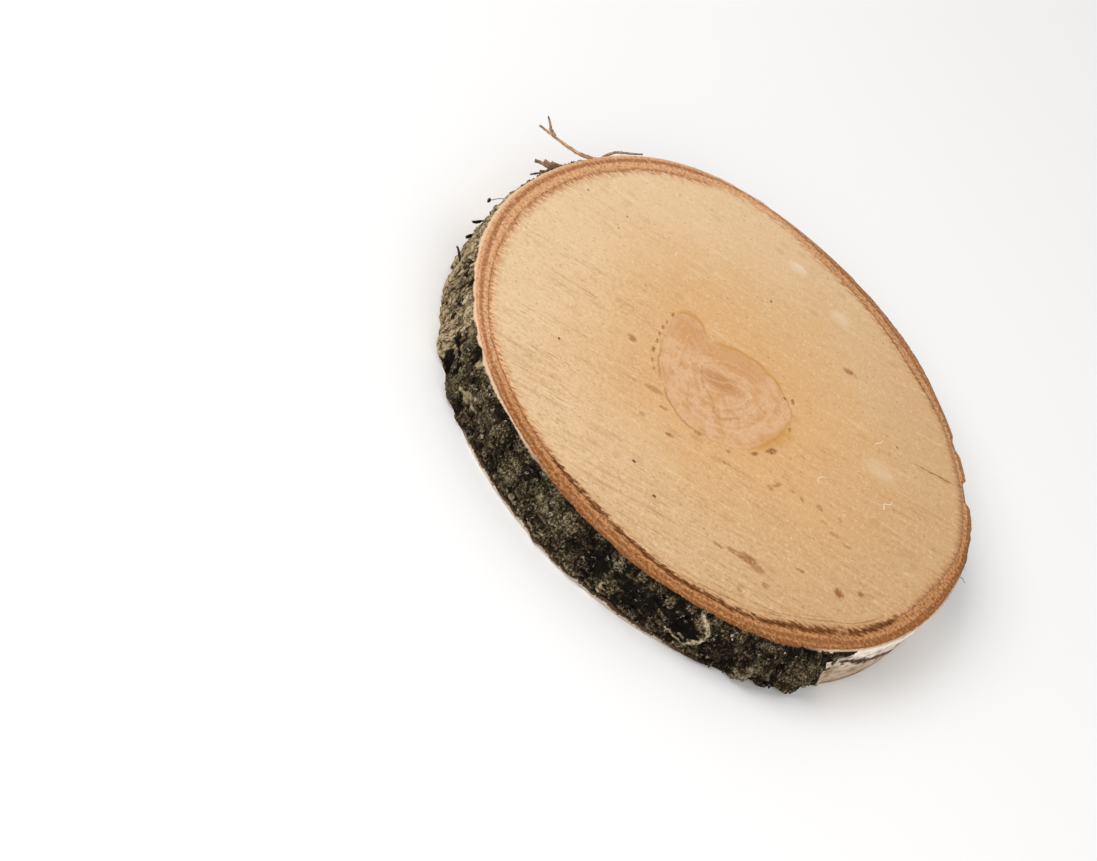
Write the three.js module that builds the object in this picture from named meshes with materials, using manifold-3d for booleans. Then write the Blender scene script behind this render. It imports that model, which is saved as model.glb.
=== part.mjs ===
// A slice of a birch trunk, sawn flat on both faces, with its bark left on.
// Millimetres. The slice lies on its lower sawn face: +Z is up, the origin is the middle of that face.

import * as THREE from 'three';
import { mergeVertices } from 'three/addons/utils/BufferGeometryUtils.js';
import Module from 'manifold-3d';

// Driving dimensions of the slice
const DIAMETER = 225;
const THICKNESS = 25.5;
const BARK_WIDTH = 7;
// The bark dries back below the sawn wood by this much at the rim
const RIM_DROP = 0.4;

// The trunk isn't quite round: waves counted round the rim, with their height and the degree they peak at
const RIM_WAVES = [
  { count: 2, height: 0.3, peak: 18 },
  { count: 3, height: 1.5, peak: -3 },
  { count: 4, height: 0.8, peak: -44 },
  { count: 6, height: 0.3, peak: 14 },
  { count: 7, height: 0.25, peak: 25 },
];
// A shallow hollow in the rim, and two places where the cork is broken away, in degrees and millimetres
const RIM_HOLLOWS = [
  { middle: -122, half: 8, fade: 34, depth: 1.8 },
  { middle: 32.6, half: 2.2, fade: 1.6, depth: 2 },
  { middle: 44.8, half: 0.8, fade: 2.2, depth: 1.4 },
];

// Where the ring of bark on the sawn face is wider or narrower than BARK_WIDTH
const BARK_WIDTH_CHANGES = [
  { middle: -108, half: 14, fade: 14, change: 1.2 },
  { middle: -65, half: 9, fade: 8, change: -0.8 },
  { middle: -39, half: 4, fade: 8, change: 1.2 },
  { middle: 33, half: 14, fade: 22, change: -3.4 },
  { middle: 115, half: 4, fade: 14, change: -3.6 },
];

// Rough bark round the trunk: degrees, and the height of its plates
const SMOOTH_BARK_HEIGHT = 0.3;
const ROUGH_ZONES = [
  { middle: -150, half: 22, fade: 7, height: 1.6 },
  { middle: -80, half: 46, fade: 2.5, height: 1.9 },
  { middle: -43.8, half: 9, fade: 2.5, height: 1.5 },
  { middle: 22, half: 6, fade: 3, height: 1.6 },
  { middle: 78, half: 13, fade: 4, height: 1.6 },
  { middle: 123, half: 7, fade: 4, height: 1.2 },
];
// How many degrees the zones lean for each millimetre up the trunk
const ZONE_LEAN = 0.2;
// Plates split lengthwise along the trunk, and crumbs on them
const PLATES = { around: 120, tall: 15, seed: 11, low: 0.32, high: 0.56, share: 0.65 };
const CRUMBS = { around: 230, tall: 5, seed: 23, share: 0.35 };
// The saw trims the crust close to both faces
const EDGE = { reach: 2.4, kept: 0.25 };

// Knobs of crust and furrows between them: degree, height above the lower face, how far out, and spread
const KNOBS = [
  { degree: -137, z: 6, out: 3.2, wide: 3, tall: 4 },
  { degree: -127.5, z: 5, out: 2.4, wide: 2.2, tall: 5 },
  { degree: -56, z: 15, out: 1.2, wide: 2.4, tall: 7 },
  { degree: -49, z: 9, out: 2.6, wide: 1.8, tall: 8 },
  { degree: -44.5, z: 8, out: 2.8, wide: 1.5, tall: 6 },
  { degree: -38, z: 10, out: 2.2, wide: 2.8, tall: 9 },
  { degree: 113.8, z: 21, out: 2.6, wide: 1.3, tall: 5 },
];
const FURROWS = [
  { degree: -153, z: 18, out: -1.7, wide: 1.4, tall: 3.6 },
  { degree: -148.4, z: 21, out: -1.3, wide: 1.1, tall: 2.8 },
  { degree: -144.4, z: 15, out: -1.3, wide: 1, tall: 5.5 },
  { degree: -133.6, z: 5, out: -2.4, wide: 1.2, tall: 7 },
  { degree: -124.4, z: 4, out: -2, wide: 1.1, tall: 5 },
  { degree: -112, z: 15, out: -1.1, wide: 1.2, tall: 8 },
  { degree: -85, z: 13, out: -1.3, wide: 1.6, tall: 11 },
  { degree: -46.7, z: 12, out: -2, wide: 1, tall: 9 },
  { degree: -42.2, z: 6, out: -1.6, wide: 0.9, tall: 7 },
];

// A tongue of old bark that has lifted at its round end
const TONGUE = { root: -84, end: -64.8, z: 15.8, radius: 9, lip: 1.2, fade: 7, lift: 1.2 };

// Slivers torn from the bark. Each path point is a degree and how far out of the rim it lies
const SLIVER_THICKNESS = 1.2;
const SLIVER_STEPS = 14;
const SLIVERS = [
  { z: 23, width: 2.2, path: [[153, -2.6], [156, 0.5], [159, 3.8], [161, 9], [163.5, 18], [164.5, 20.5]] },
  { z: 23, width: 1.5, path: [[162.6, 14.5], [162.4, 17.5], [161.8, 19.6], [161.3, 23.5]] },
  { z: 21.5, width: 2.8, path: [[162, -2.6], [165.5, 1.3], [167.8, 4], [169.4, 8.6]] },
  { z: 18.5, width: 2.4, path: [[163, -2.6], [165.8, 1.2], [168.3, 3], [171.1, 5.2]] },
  { z: 23.5, width: 1.8, path: [[156, -2.6], [153.9, 0.8], [150.2, 2.6], [146.5, 2.4], [142.5, 3]] },
  { z: 18, width: 1.4, path: [[-179.5, -2.6], [-176, 2.2], [-174, 4.4], [-172.9, 5.6]] },
  { z: 16, width: 2.4, path: [[-172, -2.6], [-169, 1.2], [-167.6, 2.7], [-166, 5.4]] },
  { z: 13, width: 2, path: [[-168, -2.6], [-165, 1.4], [-163, 4]] },
  { z: 11, width: 1.8, path: [[-155.5, -2.6], [-158, 1.4], [-160.4, 4.8]] },
];

// How finely the slice is cut into faces
const COLUMNS = 320;
const ROWS = 13;

const WOOD_COLOUR = new THREE.Color('#dfb987');
const INNER_BARK_COLOUR = new THREE.Color('#c98f61');
const SMOOTH_BARK_COLOUR = new THREE.Color('#cdb8a2');
const ROUGH_BARK_COLOUR = new THREE.Color('#3f382c');
const ROUGHNESS = 0.85;

const RADIUS = DIAMETER / 2;
const CAMBIUM_RADIUS = RADIUS - BARK_WIDTH;

function smoothstep(low, high, value) {
  const t = Math.min(Math.max((value - low) / (high - low), 0), 1);
  return t * t * (3 - 2 * t);
}

function degreesApart(a, b) {
  const turn = (((a - b) % 360) + 540) % 360;
  return Math.abs(turn - 180);
}

// 1 in the middle of a zone, 0 past its fade
function inZone(degree, zone) {
  return 1 - smoothstep(zone.half, zone.half + zone.fade, degreesApart(degree, zone.middle));
}

// A fixed random number from 0 to 1 for each lattice cell
function cellValue(column, row, seed) {
  let h = Math.imul(column, 374761393) + Math.imul(row, 668265263) + Math.imul(seed, 1274126177);
  h = Math.imul(h ^ (h >>> 13), 1274126177);
  return ((h ^ (h >>> 16)) >>> 0) / 2 ** 32;
}

// Smooth noise on the unrolled bark, which closes on itself round the trunk
function barkNoise(degree, z, { around, tall, seed }) {
  const u = ((((degree % 360) + 360) % 360) / 360) * around;
  const v = z / tall;
  const column = Math.floor(u);
  const row = Math.floor(v);
  const right = (column + 1) % around;
  const across = smoothstep(0, 1, u - column);
  const up = smoothstep(0, 1, v - row);
  const low = THREE.MathUtils.lerp(cellValue(column, row, seed), cellValue(right, row, seed), across);
  const high = THREE.MathUtils.lerp(cellValue(column, row + 1, seed), cellValue(right, row + 1, seed), across);
  return THREE.MathUtils.lerp(low, high, up);
}

function trunkRadius(degree) {
  let radius = RADIUS;
  for (const wave of RIM_WAVES) {
    radius += wave.height * Math.cos(wave.count * THREE.MathUtils.degToRad(degree - wave.peak));
  }
  return radius;
}

function rimRadius(degree) {
  let radius = trunkRadius(degree);
  for (const hollow of RIM_HOLLOWS) radius -= hollow.depth * inZone(degree, hollow);
  return radius;
}

// The line between wood and bark on the sawn faces
function cambiumRadius(degree) {
  let width = BARK_WIDTH;
  for (const place of BARK_WIDTH_CHANGES) width += place.change * inZone(degree, place);
  return trunkRadius(degree) - width;
}

function tongueLift(degree, z) {
  const past = Math.max(THREE.MathUtils.degToRad(degree - TONGUE.end) * RADIUS, 0);
  const off = Math.hypot(past, z - TONGUE.z);
  const lip = 1 - smoothstep(TONGUE.radius - TONGUE.lip, TONGUE.radius, off);
  return TONGUE.lift * lip * smoothstep(TONGUE.root - TONGUE.fade, TONGUE.root + TONGUE.fade, degree);
}

function knobHeight(degree, z) {
  let height = 0;
  for (const knob of [...KNOBS, ...FURROWS]) {
    const across = degreesApart(degree, knob.degree) / knob.wide;
    const up = (z - knob.z) / knob.tall;
    height += knob.out * Math.exp(-across * across - up * up);
  }
  return height;
}

function leaningDegree(degree, z) {
  return degree + ZONE_LEAN * (z - THICKNESS / 2);
}

// How far the bark stands out of the rim
function barkHeight(degree, z) {
  let rough = SMOOTH_BARK_HEIGHT;
  for (const zone of ROUGH_ZONES) rough += zone.height * inZone(leaningDegree(degree, z), zone);
  const plates = smoothstep(PLATES.low, PLATES.high, barkNoise(degree, z, PLATES));
  const crumbs = barkNoise(degree, z, CRUMBS);
  const texture = PLATES.share * plates + CRUMBS.share * crumbs;
  const trim = EDGE.kept + (1 - EDGE.kept) * smoothstep(0, EDGE.reach, Math.min(z, THICKNESS - z));
  return trim * (rough * texture + knobHeight(degree, z) + tongueLift(degree, z));
}

function degreeOf(x, y) {
  return THREE.MathUtils.radToDeg(Math.atan2(y, x));
}

// A turned disc whose rings are then moved in and out to the outline and the bark
function sliceGeometry() {
  const side = Array.from({ length: ROWS + 1 }, (_, row) => {
    return new THREE.Vector2(RADIUS, THREE.MathUtils.lerp(RIM_DROP, THICKNESS - RIM_DROP, row / ROWS));
  });
  const lower = [new THREE.Vector2(0, 0), new THREE.Vector2(CAMBIUM_RADIUS, 0)];
  const upper = [new THREE.Vector2(CAMBIUM_RADIUS, THICKNESS), new THREE.Vector2(0, THICKNESS)];
  const geometry = new THREE.LatheGeometry([...lower, ...side, ...upper], COLUMNS);
  geometry.rotateX(Math.PI / 2);

  const position = geometry.attributes.position;
  const betweenRings = (RADIUS + CAMBIUM_RADIUS) / 2;
  for (let i = 0; i < position.count; i += 1) {
    const turned = Math.hypot(position.getX(i), position.getY(i));
    if (turned < CAMBIUM_RADIUS / 2) continue;
    const z = position.getZ(i);
    const degree = degreeOf(position.getX(i), position.getY(i));
    const onRim = turned > betweenRings;
    const radius = onRim ? rimRadius(degree) + barkHeight(degree, z) : cambiumRadius(degree);
    position.setXY(i, (position.getX(i) * radius) / turned, (position.getY(i) * radius) / turned);
  }
  return geometry;
}

// A flat strip that stands on edge along its path, with its root inside the rim
function sliverGeometry({ z, width, path }) {
  const points = path.map(([degree, out]) => {
    const angle = THREE.MathUtils.degToRad(degree);
    const radius = rimRadius(degree) + out;
    return new THREE.Vector3(radius * Math.cos(angle), radius * Math.sin(angle), z);
  });
  const section = new THREE.Shape([
    new THREE.Vector2(-width / 2, -SLIVER_THICKNESS / 2),
    new THREE.Vector2(width / 2, -SLIVER_THICKNESS / 2),
    new THREE.Vector2(width / 2, SLIVER_THICKNESS / 2),
    new THREE.Vector2(-width / 2, SLIVER_THICKNESS / 2),
  ]);
  const extrudePath = new THREE.CatmullRomCurve3(points);
  return new THREE.ExtrudeGeometry(section, { steps: SLIVER_STEPS, extrudePath });
}

const wasm = await Module();
wasm.setup();

function toSolid(geometry) {
  const bare = geometry.clone();
  bare.deleteAttribute('normal');
  bare.deleteAttribute('uv');
  const merged = mergeVertices(bare, 1e-3);
  const corners = [];
  const index = merged.index.array;
  for (let i = 0; i < index.length; i += 3) {
    const [a, b, c] = [index[i], index[i + 1], index[i + 2]];
    if (a !== b && b !== c && c !== a) corners.push(a, b, c);
  }
  return new wasm.Manifold(new wasm.Mesh({
    numProp: 3,
    vertProperties: new Float32Array(merged.attributes.position.array),
    triVerts: new Uint32Array(corners),
  }));
}

function toGeometry(solid) {
  const mesh = solid.getMesh();
  const geometry = new THREE.BufferGeometry();
  geometry.setAttribute('position', new THREE.BufferAttribute(new Float32Array(mesh.vertProperties), 3));
  geometry.setIndex(new THREE.BufferAttribute(new Uint32Array(mesh.triVerts), 1));
  return geometry;
}

function colourAt(x, y, z) {
  const degree = degreeOf(x, y);
  const out = Math.hypot(x, y);
  if (out < cambiumRadius(degree)) return WOOD_COLOUR;
  const onSawnFace = z < RIM_DROP || z > THICKNESS - RIM_DROP;
  if (onSawnFace) return INNER_BARK_COLOUR;
  const rough = Math.max(...ROUGH_ZONES.map((zone) => inZone(leaningDegree(degree, z), zone)));
  return SMOOTH_BARK_COLOUR.clone().lerp(ROUGH_BARK_COLOUR, rough);
}

// One colour for each face, by what it is: wood, inner bark, smooth or rough bark
function paint(geometry) {
  const faces = geometry.toNonIndexed();
  const position = faces.attributes.position;
  const colours = new Float32Array(position.count * 3);
  const corner = new THREE.Vector3();
  const middle = new THREE.Vector3();
  for (let i = 0; i < position.count; i += 3) {
    middle.set(0, 0, 0);
    for (let k = 0; k < 3; k += 1) middle.addScaledVector(corner.fromBufferAttribute(position, i + k), 1 / 3);
    const colour = colourAt(middle.x, middle.y, middle.z);
    for (let k = 0; k < 3; k += 1) colour.toArray(colours, (i + k) * 3);
  }
  faces.setAttribute('color', new THREE.BufferAttribute(colours, 3));
  faces.computeVertexNormals();
  return faces;
}

function birchSlice() {
  let solid = toSolid(sliceGeometry());
  for (const sliver of SLIVERS) solid = solid.add(toSolid(sliverGeometry(sliver)));
  const material = new THREE.MeshStandardMaterial({ vertexColors: true, roughness: ROUGHNESS, metalness: 0 });
  const mesh = new THREE.Mesh(paint(toGeometry(solid)), material);
  mesh.name = 'birch_slice';
  return mesh;
}

const slice = new THREE.Group();
slice.add(birchSlice());

export default slice;
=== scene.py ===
# A slice of birch trunk that lies on a pale floor: sawn wood, its ring of bark, and what hangs on the bark
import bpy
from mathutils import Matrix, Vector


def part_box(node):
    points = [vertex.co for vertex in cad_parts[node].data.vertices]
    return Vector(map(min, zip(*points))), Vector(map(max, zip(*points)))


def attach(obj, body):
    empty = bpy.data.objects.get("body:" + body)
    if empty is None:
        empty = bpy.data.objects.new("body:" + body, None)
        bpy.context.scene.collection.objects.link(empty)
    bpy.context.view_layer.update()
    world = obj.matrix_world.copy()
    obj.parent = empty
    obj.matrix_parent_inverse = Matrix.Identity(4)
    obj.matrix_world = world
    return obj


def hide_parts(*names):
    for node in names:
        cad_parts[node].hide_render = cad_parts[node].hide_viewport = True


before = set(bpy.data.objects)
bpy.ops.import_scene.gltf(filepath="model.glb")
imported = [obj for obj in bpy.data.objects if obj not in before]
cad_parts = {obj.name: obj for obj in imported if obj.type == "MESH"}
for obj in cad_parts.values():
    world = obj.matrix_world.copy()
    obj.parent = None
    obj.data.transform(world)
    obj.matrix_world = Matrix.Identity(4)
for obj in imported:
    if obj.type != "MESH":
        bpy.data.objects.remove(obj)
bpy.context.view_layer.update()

import math

import bpy
import numpy as np
from mathutils import Matrix, Vector

NODE = "birch_slice"
BODY = "root"
# Shapes are worked out in millimetres and degrees, and become metres when a mesh is made
MM = 0.001
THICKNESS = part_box(NODE)[1].z / MM

# The slice, as in the solid model
RADIUS = 112.5
BARK_WIDTH = 7.0
RIM_DROP = 0.4
# Waves counted round the rim: count, height, degree of a peak
RIM_WAVES = [(2, 0.3, 18), (3, 1.5, -3), (4, 0.8, -44), (6, 0.3, 14), (7, 0.25, 25)]
# Zones round the trunk: middle degree, half width, fade, then what changes there
RIM_HOLLOWS = [(-122, 8, 34, 1.8), (32.6, 2.2, 1.6, 2), (44.8, 0.8, 2.2, 1.4)]
BARK_WIDTH_CHANGES = [
    (-108, 14, 14, 1.2),
    (-65, 9, 8, -0.8),
    (-39, 4, 8, 1.2),
    (33, 14, 22, -3.4),
    (115, 4, 14, -3.6),
]
SMOOTH_BARK_HEIGHT = 0.3
ROUGH_ZONES = [
    (-150, 22, 7, 1.6),
    (-80, 46, 2.5, 1.9),
    (-43.8, 9, 2.5, 1.5),
    (22, 6, 3, 1.6),
    (78, 13, 4, 1.6),
    (123, 7, 4, 1.2),
]
# How many degrees the rough zones lean for each millimetre up the trunk
ZONE_LEAN = 0.2
# Lattices on the unrolled bark: cells round the trunk, height of a cell, seed
PLATES = (120, 15, 11)
PLATE_STEP = (0.32, 0.56)
PLATE_SHARE = 0.65
CRUMBS = (230, 5, 23)
EDGE_REACH = 2.4
EDGE_KEPT = 0.25
# Finer relief that only the dressed bark has: lattices, heights, sway, and how creases and cracks begin
SWAY = (80, 8, 41)
SMALL_SWAY = (260, 2.6, 43)
RIDGES = (150, 13, 31)
SCALES = (360, 4, 37)
GRAINS = (660, 1.3, 61)
RIPPLES = (50, 1.5, 71)
RIDGE_HEIGHT, SCALE_HEIGHT, GRAIN_HEIGHT, RIPPLE_HEIGHT = 0.4, 0.3, 0.5, 0.12
SWAY_DEGREES, SMALL_SWAY_DEGREES = 5, 1.6
CREASE_SIDE = (0, 0.4)
CREASE_LEVEL = 0.7
CRACK_SIDE = (0.02, 0.22)
SCALE_CRACK = 0.8
# Knobs of crust and furrows: degree, height, how far out, spread in degrees and in millimetres
KNOBS = [
    (-137, 6, 3.2, 3, 4),
    (-127.5, 5, 2.4, 2.2, 5),
    (-56, 15, 1.2, 2.4, 7),
    (-49, 9, 2.6, 1.8, 8),
    (-44.5, 8, 2.8, 1.5, 6),
    (-38, 10, 2.2, 2.8, 9),
    (113.8, 21, 2.6, 1.3, 5),
]
FURROWS = [
    (-153, 18, -1.7, 1.4, 3.6),
    (-148.4, 21, -1.3, 1.1, 2.8),
    (-144.4, 15, -1.3, 1, 5.5),
    (-133.6, 5, -2.4, 1.2, 7),
    (-124.4, 4, -2, 1.1, 5),
    (-112, 15, -1.1, 1.2, 8),
    (-85, 13, -1.3, 1.6, 11),
    (-46.7, 12, -2, 1, 9),
    (-42.2, 6, -1.6, 0.9, 7),
]
TONGUE_ROOT = -84
TONGUE_FADE = 7
TONGUE_END = -64.8
TONGUE_Z = 15.8
TONGUE_RADIUS = 9
TONGUE_LIP = 1.2
TONGUE_LIFT = 1.2

# Slivers torn from the bark: height, width, how dark, form, and a path of degree and distance out of the rim
SLIVER_THICKNESS = 1.3
SLIVERS = [
    (23, 2.4, 0.0, "taper", [(153, -2.6), (156, 0.5), (159, 3.8), (161, 9), (163.5, 18), (164.5, 20.5)]),
    (23, 1.6, 0.35, "taper", [(162.6, 14.5), (162.4, 17.5), (161.8, 19.6), (161.3, 23.5)]),
    (21.5, 2.8, 0.15, "frayed", [(162, -2.6), (165.5, 1.3), (167.8, 4), (169.4, 8.6)]),
    (18.5, 2.4, 0.4, "frayed", [(163, -2.6), (165.8, 1.2), (168.3, 3), (171.1, 5.2)]),
    (23.5, 1.8, 0.2, "taper", [(156, -2.6), (153.9, 0.8), (150.2, 2.6), (146.5, 2.4), (142.5, 3)]),
    (18, 1.5, 1.0, "blob", [(-179.5, -2.6), (-176, 2.2), (-174, 4.4), (-172.9, 5.6)]),
    (16, 2.6, 1.0, "leaf", [(-172, -2.6), (-169, 1.2), (-167.6, 2.7), (-166, 5.4)]),
    (13, 2.4, 1.0, "leaf", [(-168, -2.6), (-165, 1.4), (-163, 4)]),
    (11, 1.8, 1.0, "taper", [(-155.5, -2.6), (-158, 1.4), (-160.4, 4.8)]),
]

# The sawn face: which way the saw ran, and outlines of the false heart and its core
SAW_DEGREE = 22
HEART = [
    (-35, 8), (-31, 15.6), (-25.5, 14.8), (-18.7, 10.8), (-15, 15.5), (-6.7, 20.8), (3.3, 23.6), (14, 21.5),
    (22.6, 15), (24.5, 5), (23.5, -8), (17, -23), (3.3, -32.6), (-10, -33.6), (-23.5, -24.5), (-30, -13.5),
]
CORE = [
    (-14.2, 0), (-13, -5.5), (-9, -10.6), (-5, -12), (-1.7, -14.2), (1.2, -18), (5, -17.3), (7.6, -13),
    (10, -7.5), (7.8, -3.6), (3, -2.5), (0.3, 0.8), (-0.5, 4), (-5, 5), (-11, 4),
]

# Mesh densities
FACE_ROWS = 440
FACE_COLUMNS = 70
RING_COLUMNS = 1320
RING_SIDE_ROWS = 48
RING_FACE_ROWS = 8
RING_UV_STRIPS = 4


def smoothstep(low, high, value):
    t = np.clip((value - low) / (high - low), 0, 1)
    return t * t * (3 - 2 * t)


def degrees_apart(a, b):
    return np.abs((a - b + 180) % 360 - 180)


def in_zone(degree, middle, half, fade):
    return 1 - smoothstep(half, half + fade, degrees_apart(degree, middle))


def cell_value(column, row, seed):
    """A fixed random number from 0 to 1 for each lattice cell."""
    bits = 0xFFFFFFFF
    h = (column * 374761393 + row * 668265263 + seed * 1274126177) & bits
    h = ((h ^ (h >> 13)) * 1274126177) & bits
    return (h ^ (h >> 16)) / 2**32


def lattice(degree, z, around, tall):
    u = degree % 360 / 360 * around
    v = z / tall
    column = np.floor(u).astype(np.int64)
    row = np.floor(v).astype(np.int64)
    return u, v, column, row


def bark_noise(degree, z, around, tall, seed):
    """Smooth noise from 0 to 1 on the unrolled bark, which closes on itself round the trunk."""
    u, v, column, row = lattice(degree, z, around, tall)
    right = (column + 1) % around
    across = smoothstep(0, 1, u - column)
    up = smoothstep(0, 1, v - row)
    low = cell_value(column, row, seed) * (1 - across) + cell_value(right, row, seed) * across
    high = cell_value(column, row + 1, seed) * (1 - across) + cell_value(right, row + 1, seed) * across
    return low * (1 - up) + high * up


def creases(degree, z, around, tall, seed):
    """0 in creases that wind over the bark, up to 1 between them."""
    return np.abs(2 * bark_noise(degree, z, around, tall, seed) - 1)


def zone_sum(degree, zones):
    """What zones round the trunk add up to."""
    return sum(change * in_zone(degree, middle, half, fade) for middle, half, fade, change in zones)


def trunk_radius(degree):
    radius = RADIUS
    for count, height, peak in RIM_WAVES:
        radius = radius + height * np.cos(count * np.radians(degree - peak))
    return radius


def rim_radius(degree):
    return trunk_radius(degree) - zone_sum(degree, RIM_HOLLOWS)


def cambium_radius(degree):
    return trunk_radius(degree) - BARK_WIDTH - zone_sum(degree, BARK_WIDTH_CHANGES)


def bark_roughness(degree, z):
    return zone_sum(degree + ZONE_LEAN * (z - THICKNESS / 2), ROUGH_ZONES)


def edge_trim(z):
    return EDGE_KEPT + (1 - EDGE_KEPT) * smoothstep(0, EDGE_REACH, np.minimum(z, THICKNESS - z))


def tongue_off(degree, z):
    past = np.maximum(np.radians(degree - TONGUE_END) * RADIUS, 0)
    return np.hypot(past, z - TONGUE_Z)


def bark_height(degree, z):
    """How far the bark of the solid model stands out of the rim."""
    plates = smoothstep(*PLATE_STEP, bark_noise(degree, z, *PLATES))
    texture = PLATE_SHARE * plates + (1 - PLATE_SHARE) * bark_noise(degree, z, *CRUMBS)
    height = (SMOOTH_BARK_HEIGHT + bark_roughness(degree, z)) * texture
    for knob_degree, knob_z, out, wide, tall in KNOBS + FURROWS:
        across = degrees_apart(degree, knob_degree) / wide
        height = height + out * np.exp(-across**2 - ((z - knob_z) / tall) ** 2)
    lip = 1 - smoothstep(TONGUE_RADIUS - TONGUE_LIP, TONGUE_RADIUS, tongue_off(degree, z))
    root = smoothstep(TONGUE_ROOT - TONGUE_FADE, TONGUE_ROOT + TONGUE_FADE, degree)
    return edge_trim(z) * (height + TONGUE_LIFT * lip * root)


def fine_bark(degree, z):
    """Ridges, scales and grains on top of the solid model's bark, and how deep a point lies in a crack."""
    sway = SWAY_DEGREES * (bark_noise(degree, z, *SWAY) - 0.5)
    sway = sway + SMALL_SWAY_DEGREES * (bark_noise(degree, z, *SMALL_SWAY) - 0.5)
    ridge = creases(degree + sway, z, *RIDGES)
    scale = creases(degree + sway, z, *SCALES)
    grain = bark_noise(degree + sway, z, *GRAINS) - 0.5
    ripples = RIPPLE_HEIGHT * (bark_noise(degree, z, *RIPPLES) - 0.5)
    height = RIDGE_HEIGHT * (smoothstep(*CREASE_SIDE, ridge) - CREASE_LEVEL)
    height = height + SCALE_HEIGHT * (smoothstep(*CREASE_SIDE, scale) - CREASE_LEVEL)
    height = height + GRAIN_HEIGHT * grain
    between_scales = SCALE_CRACK - SCALE_CRACK * smoothstep(*CRACK_SIDE, scale)
    crack = np.maximum(1 - smoothstep(*CRACK_SIDE, ridge), between_scales)
    return edge_trim(z) * (bark_roughness(degree, z) * height + ripples), crack


def bark_surface(degree, z):
    """The dressed bark's radius."""
    return rim_radius(degree) + bark_height(degree, z) + fine_bark(degree, z)[0]


def place(degree, radius, z):
    angle = np.radians(degree)
    return np.stack(np.broadcast_arrays(radius * np.cos(angle), radius * np.sin(angle), z), axis=-1)


def polar_degree(points):
    return np.degrees(np.arctan2(points[..., 1], points[..., 0]))


def make_piece(name, points, faces, material, attributes=None, uv=None, flat=0):
    """A mesh piece that rides on the slice, from points in millimetres; its last faces may be flat."""
    mesh = bpy.data.meshes.new(name)
    mesh.from_pydata((np.asarray(points) * MM).tolist(), [], [list(face) for face in faces])
    for key, values in (attributes or {}).items():
        layer = mesh.attributes.new(key, "FLOAT", "POINT")
        layer.data.foreach_set("value", np.ravel(values).astype(np.float32))
    if uv is not None:
        mesh.uv_layers.new(name="OFBake").uv.foreach_set("vector", np.ravel(uv).astype(np.float32))
    mesh.polygons.foreach_set("use_smooth", [True] * (len(faces) - flat) + [False] * flat)
    mesh.materials.append(material)
    mesh.validate()
    piece = bpy.data.objects.new(name, mesh)
    bpy.context.scene.collection.objects.link(piece)
    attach(piece, BODY)
    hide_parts(NODE)
    return piece


def join(parts):
    """One list of points and faces from several."""
    points, faces, shift = [], [], 0
    for part_points, part_faces in parts:
        points.append(part_points)
        faces += [[corner + shift for corner in face] for face in part_faces]
        shift += len(part_points)
    return np.vstack(points), faces


def tube_faces(rings, sides):
    """Faces between rings of points, closed by two end points that follow the rings."""
    index = np.arange(rings * sides).reshape(rings, sides)
    beside = np.roll(index, -1, axis=1)
    faces = np.stack([index[:-1], beside[:-1], beside[1:], index[1:]], -1).reshape(-1, 4).tolist()
    start, end = rings * sides, rings * sides + 1
    faces += [[start, b, a] for a, b in zip(index[0], beside[0])]
    faces += [[end, a, b] for a, b in zip(index[-1], beside[-1])]
    return faces


# Sawn wood

def spline(a, b, c, d, t):
    return (2 * b + (c - a) * t + (2 * a - 5 * b + 4 * c - d) * t**2 + (3 * b - a - 3 * c + d) * t**3) / 2


def closed_curve(points, steps=8):
    """A smooth closed outline through a few points."""
    p = np.array(points, float)
    t = (np.arange(steps) / steps)[:, None, None]
    curve = spline(np.roll(p, 1, 0), p, np.roll(p, -1, 0), np.roll(p, -2, 0), t)
    return curve.transpose(1, 0, 2).reshape(-1, 2)


def open_curve(points, count):
    """Points along a smooth open curve."""
    p = np.array(points, float)
    p = np.vstack([2 * p[0] - p[1], p, 2 * p[-1] - p[-2]])
    spans = len(p) - 3
    u = np.linspace(0, spans, count)
    k = np.minimum(u.astype(int), spans - 1)
    return spline(p[k], p[k + 1], p[k + 2], p[k + 3], (u - k)[:, None])


def inside_distance(xy, outline):
    """Distance to an outline, positive inside it."""
    start = outline[:, None]
    run = (np.roll(outline, -1, 0) - outline)[:, None]
    along = np.clip(((xy - start) * run).sum(-1) / (run**2).sum(-1), 0, 1)
    away = np.linalg.norm(xy - start - along[..., None] * run, axis=-1).min(0)
    crosses = (start[..., 1] > xy[:, 1]) != (start[..., 1] + run[..., 1] > xy[:, 1])
    rise = np.where(run[..., 1] == 0, 1e-9, run[..., 1])
    left = xy[:, 0] < (xy[:, 1] - start[..., 1]) / rise * run[..., 0] + start[..., 0]
    inside = (crosses & left).sum(0) % 2 == 1
    return np.where(inside, away, -away)


# How the sawn rim changes round the trunk: the stain at the cambium, darker bark, a pale edge, a rusty line
STAIN = 0.45
STAIN_ZONES = [(-60, 40, 9, 0.6), (-36, 9, 10, 0.5), (18, 30, 4, -0.45), (112, 12, 6, -0.45)]
DARK_ZONES = [(-52, 62, 22, 0.85), (60, 30, 24, 0.4)]
PALE_ZONES = [(-150, 36, 14, 0.75), (-15, 20, 8, 0.8), (130, 20, 14, 0.4)]
RUSTY_LINE = 0.68
RUSTY_LINE_ZONES = [(-95, 58, 22, -0.11)]


def rim_attributes(points):
    """What the sawn rim's colours go by; the rim is a distance inside the cambium."""
    degree = polar_degree(points)
    cambium = cambium_radius(degree)
    return {
        "rim": cambium - np.hypot(points[..., 0], points[..., 1]),
        "width": rim_radius(degree) - cambium,
        "stain": STAIN + zone_sum(degree, STAIN_ZONES),
        "darker": zone_sum(degree, DARK_ZONES),
        "pale": zone_sum(degree, PALE_ZONES),
        "rusty": RUSTY_LINE + zone_sum(degree, RUSTY_LINE_ZONES),
    }


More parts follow.
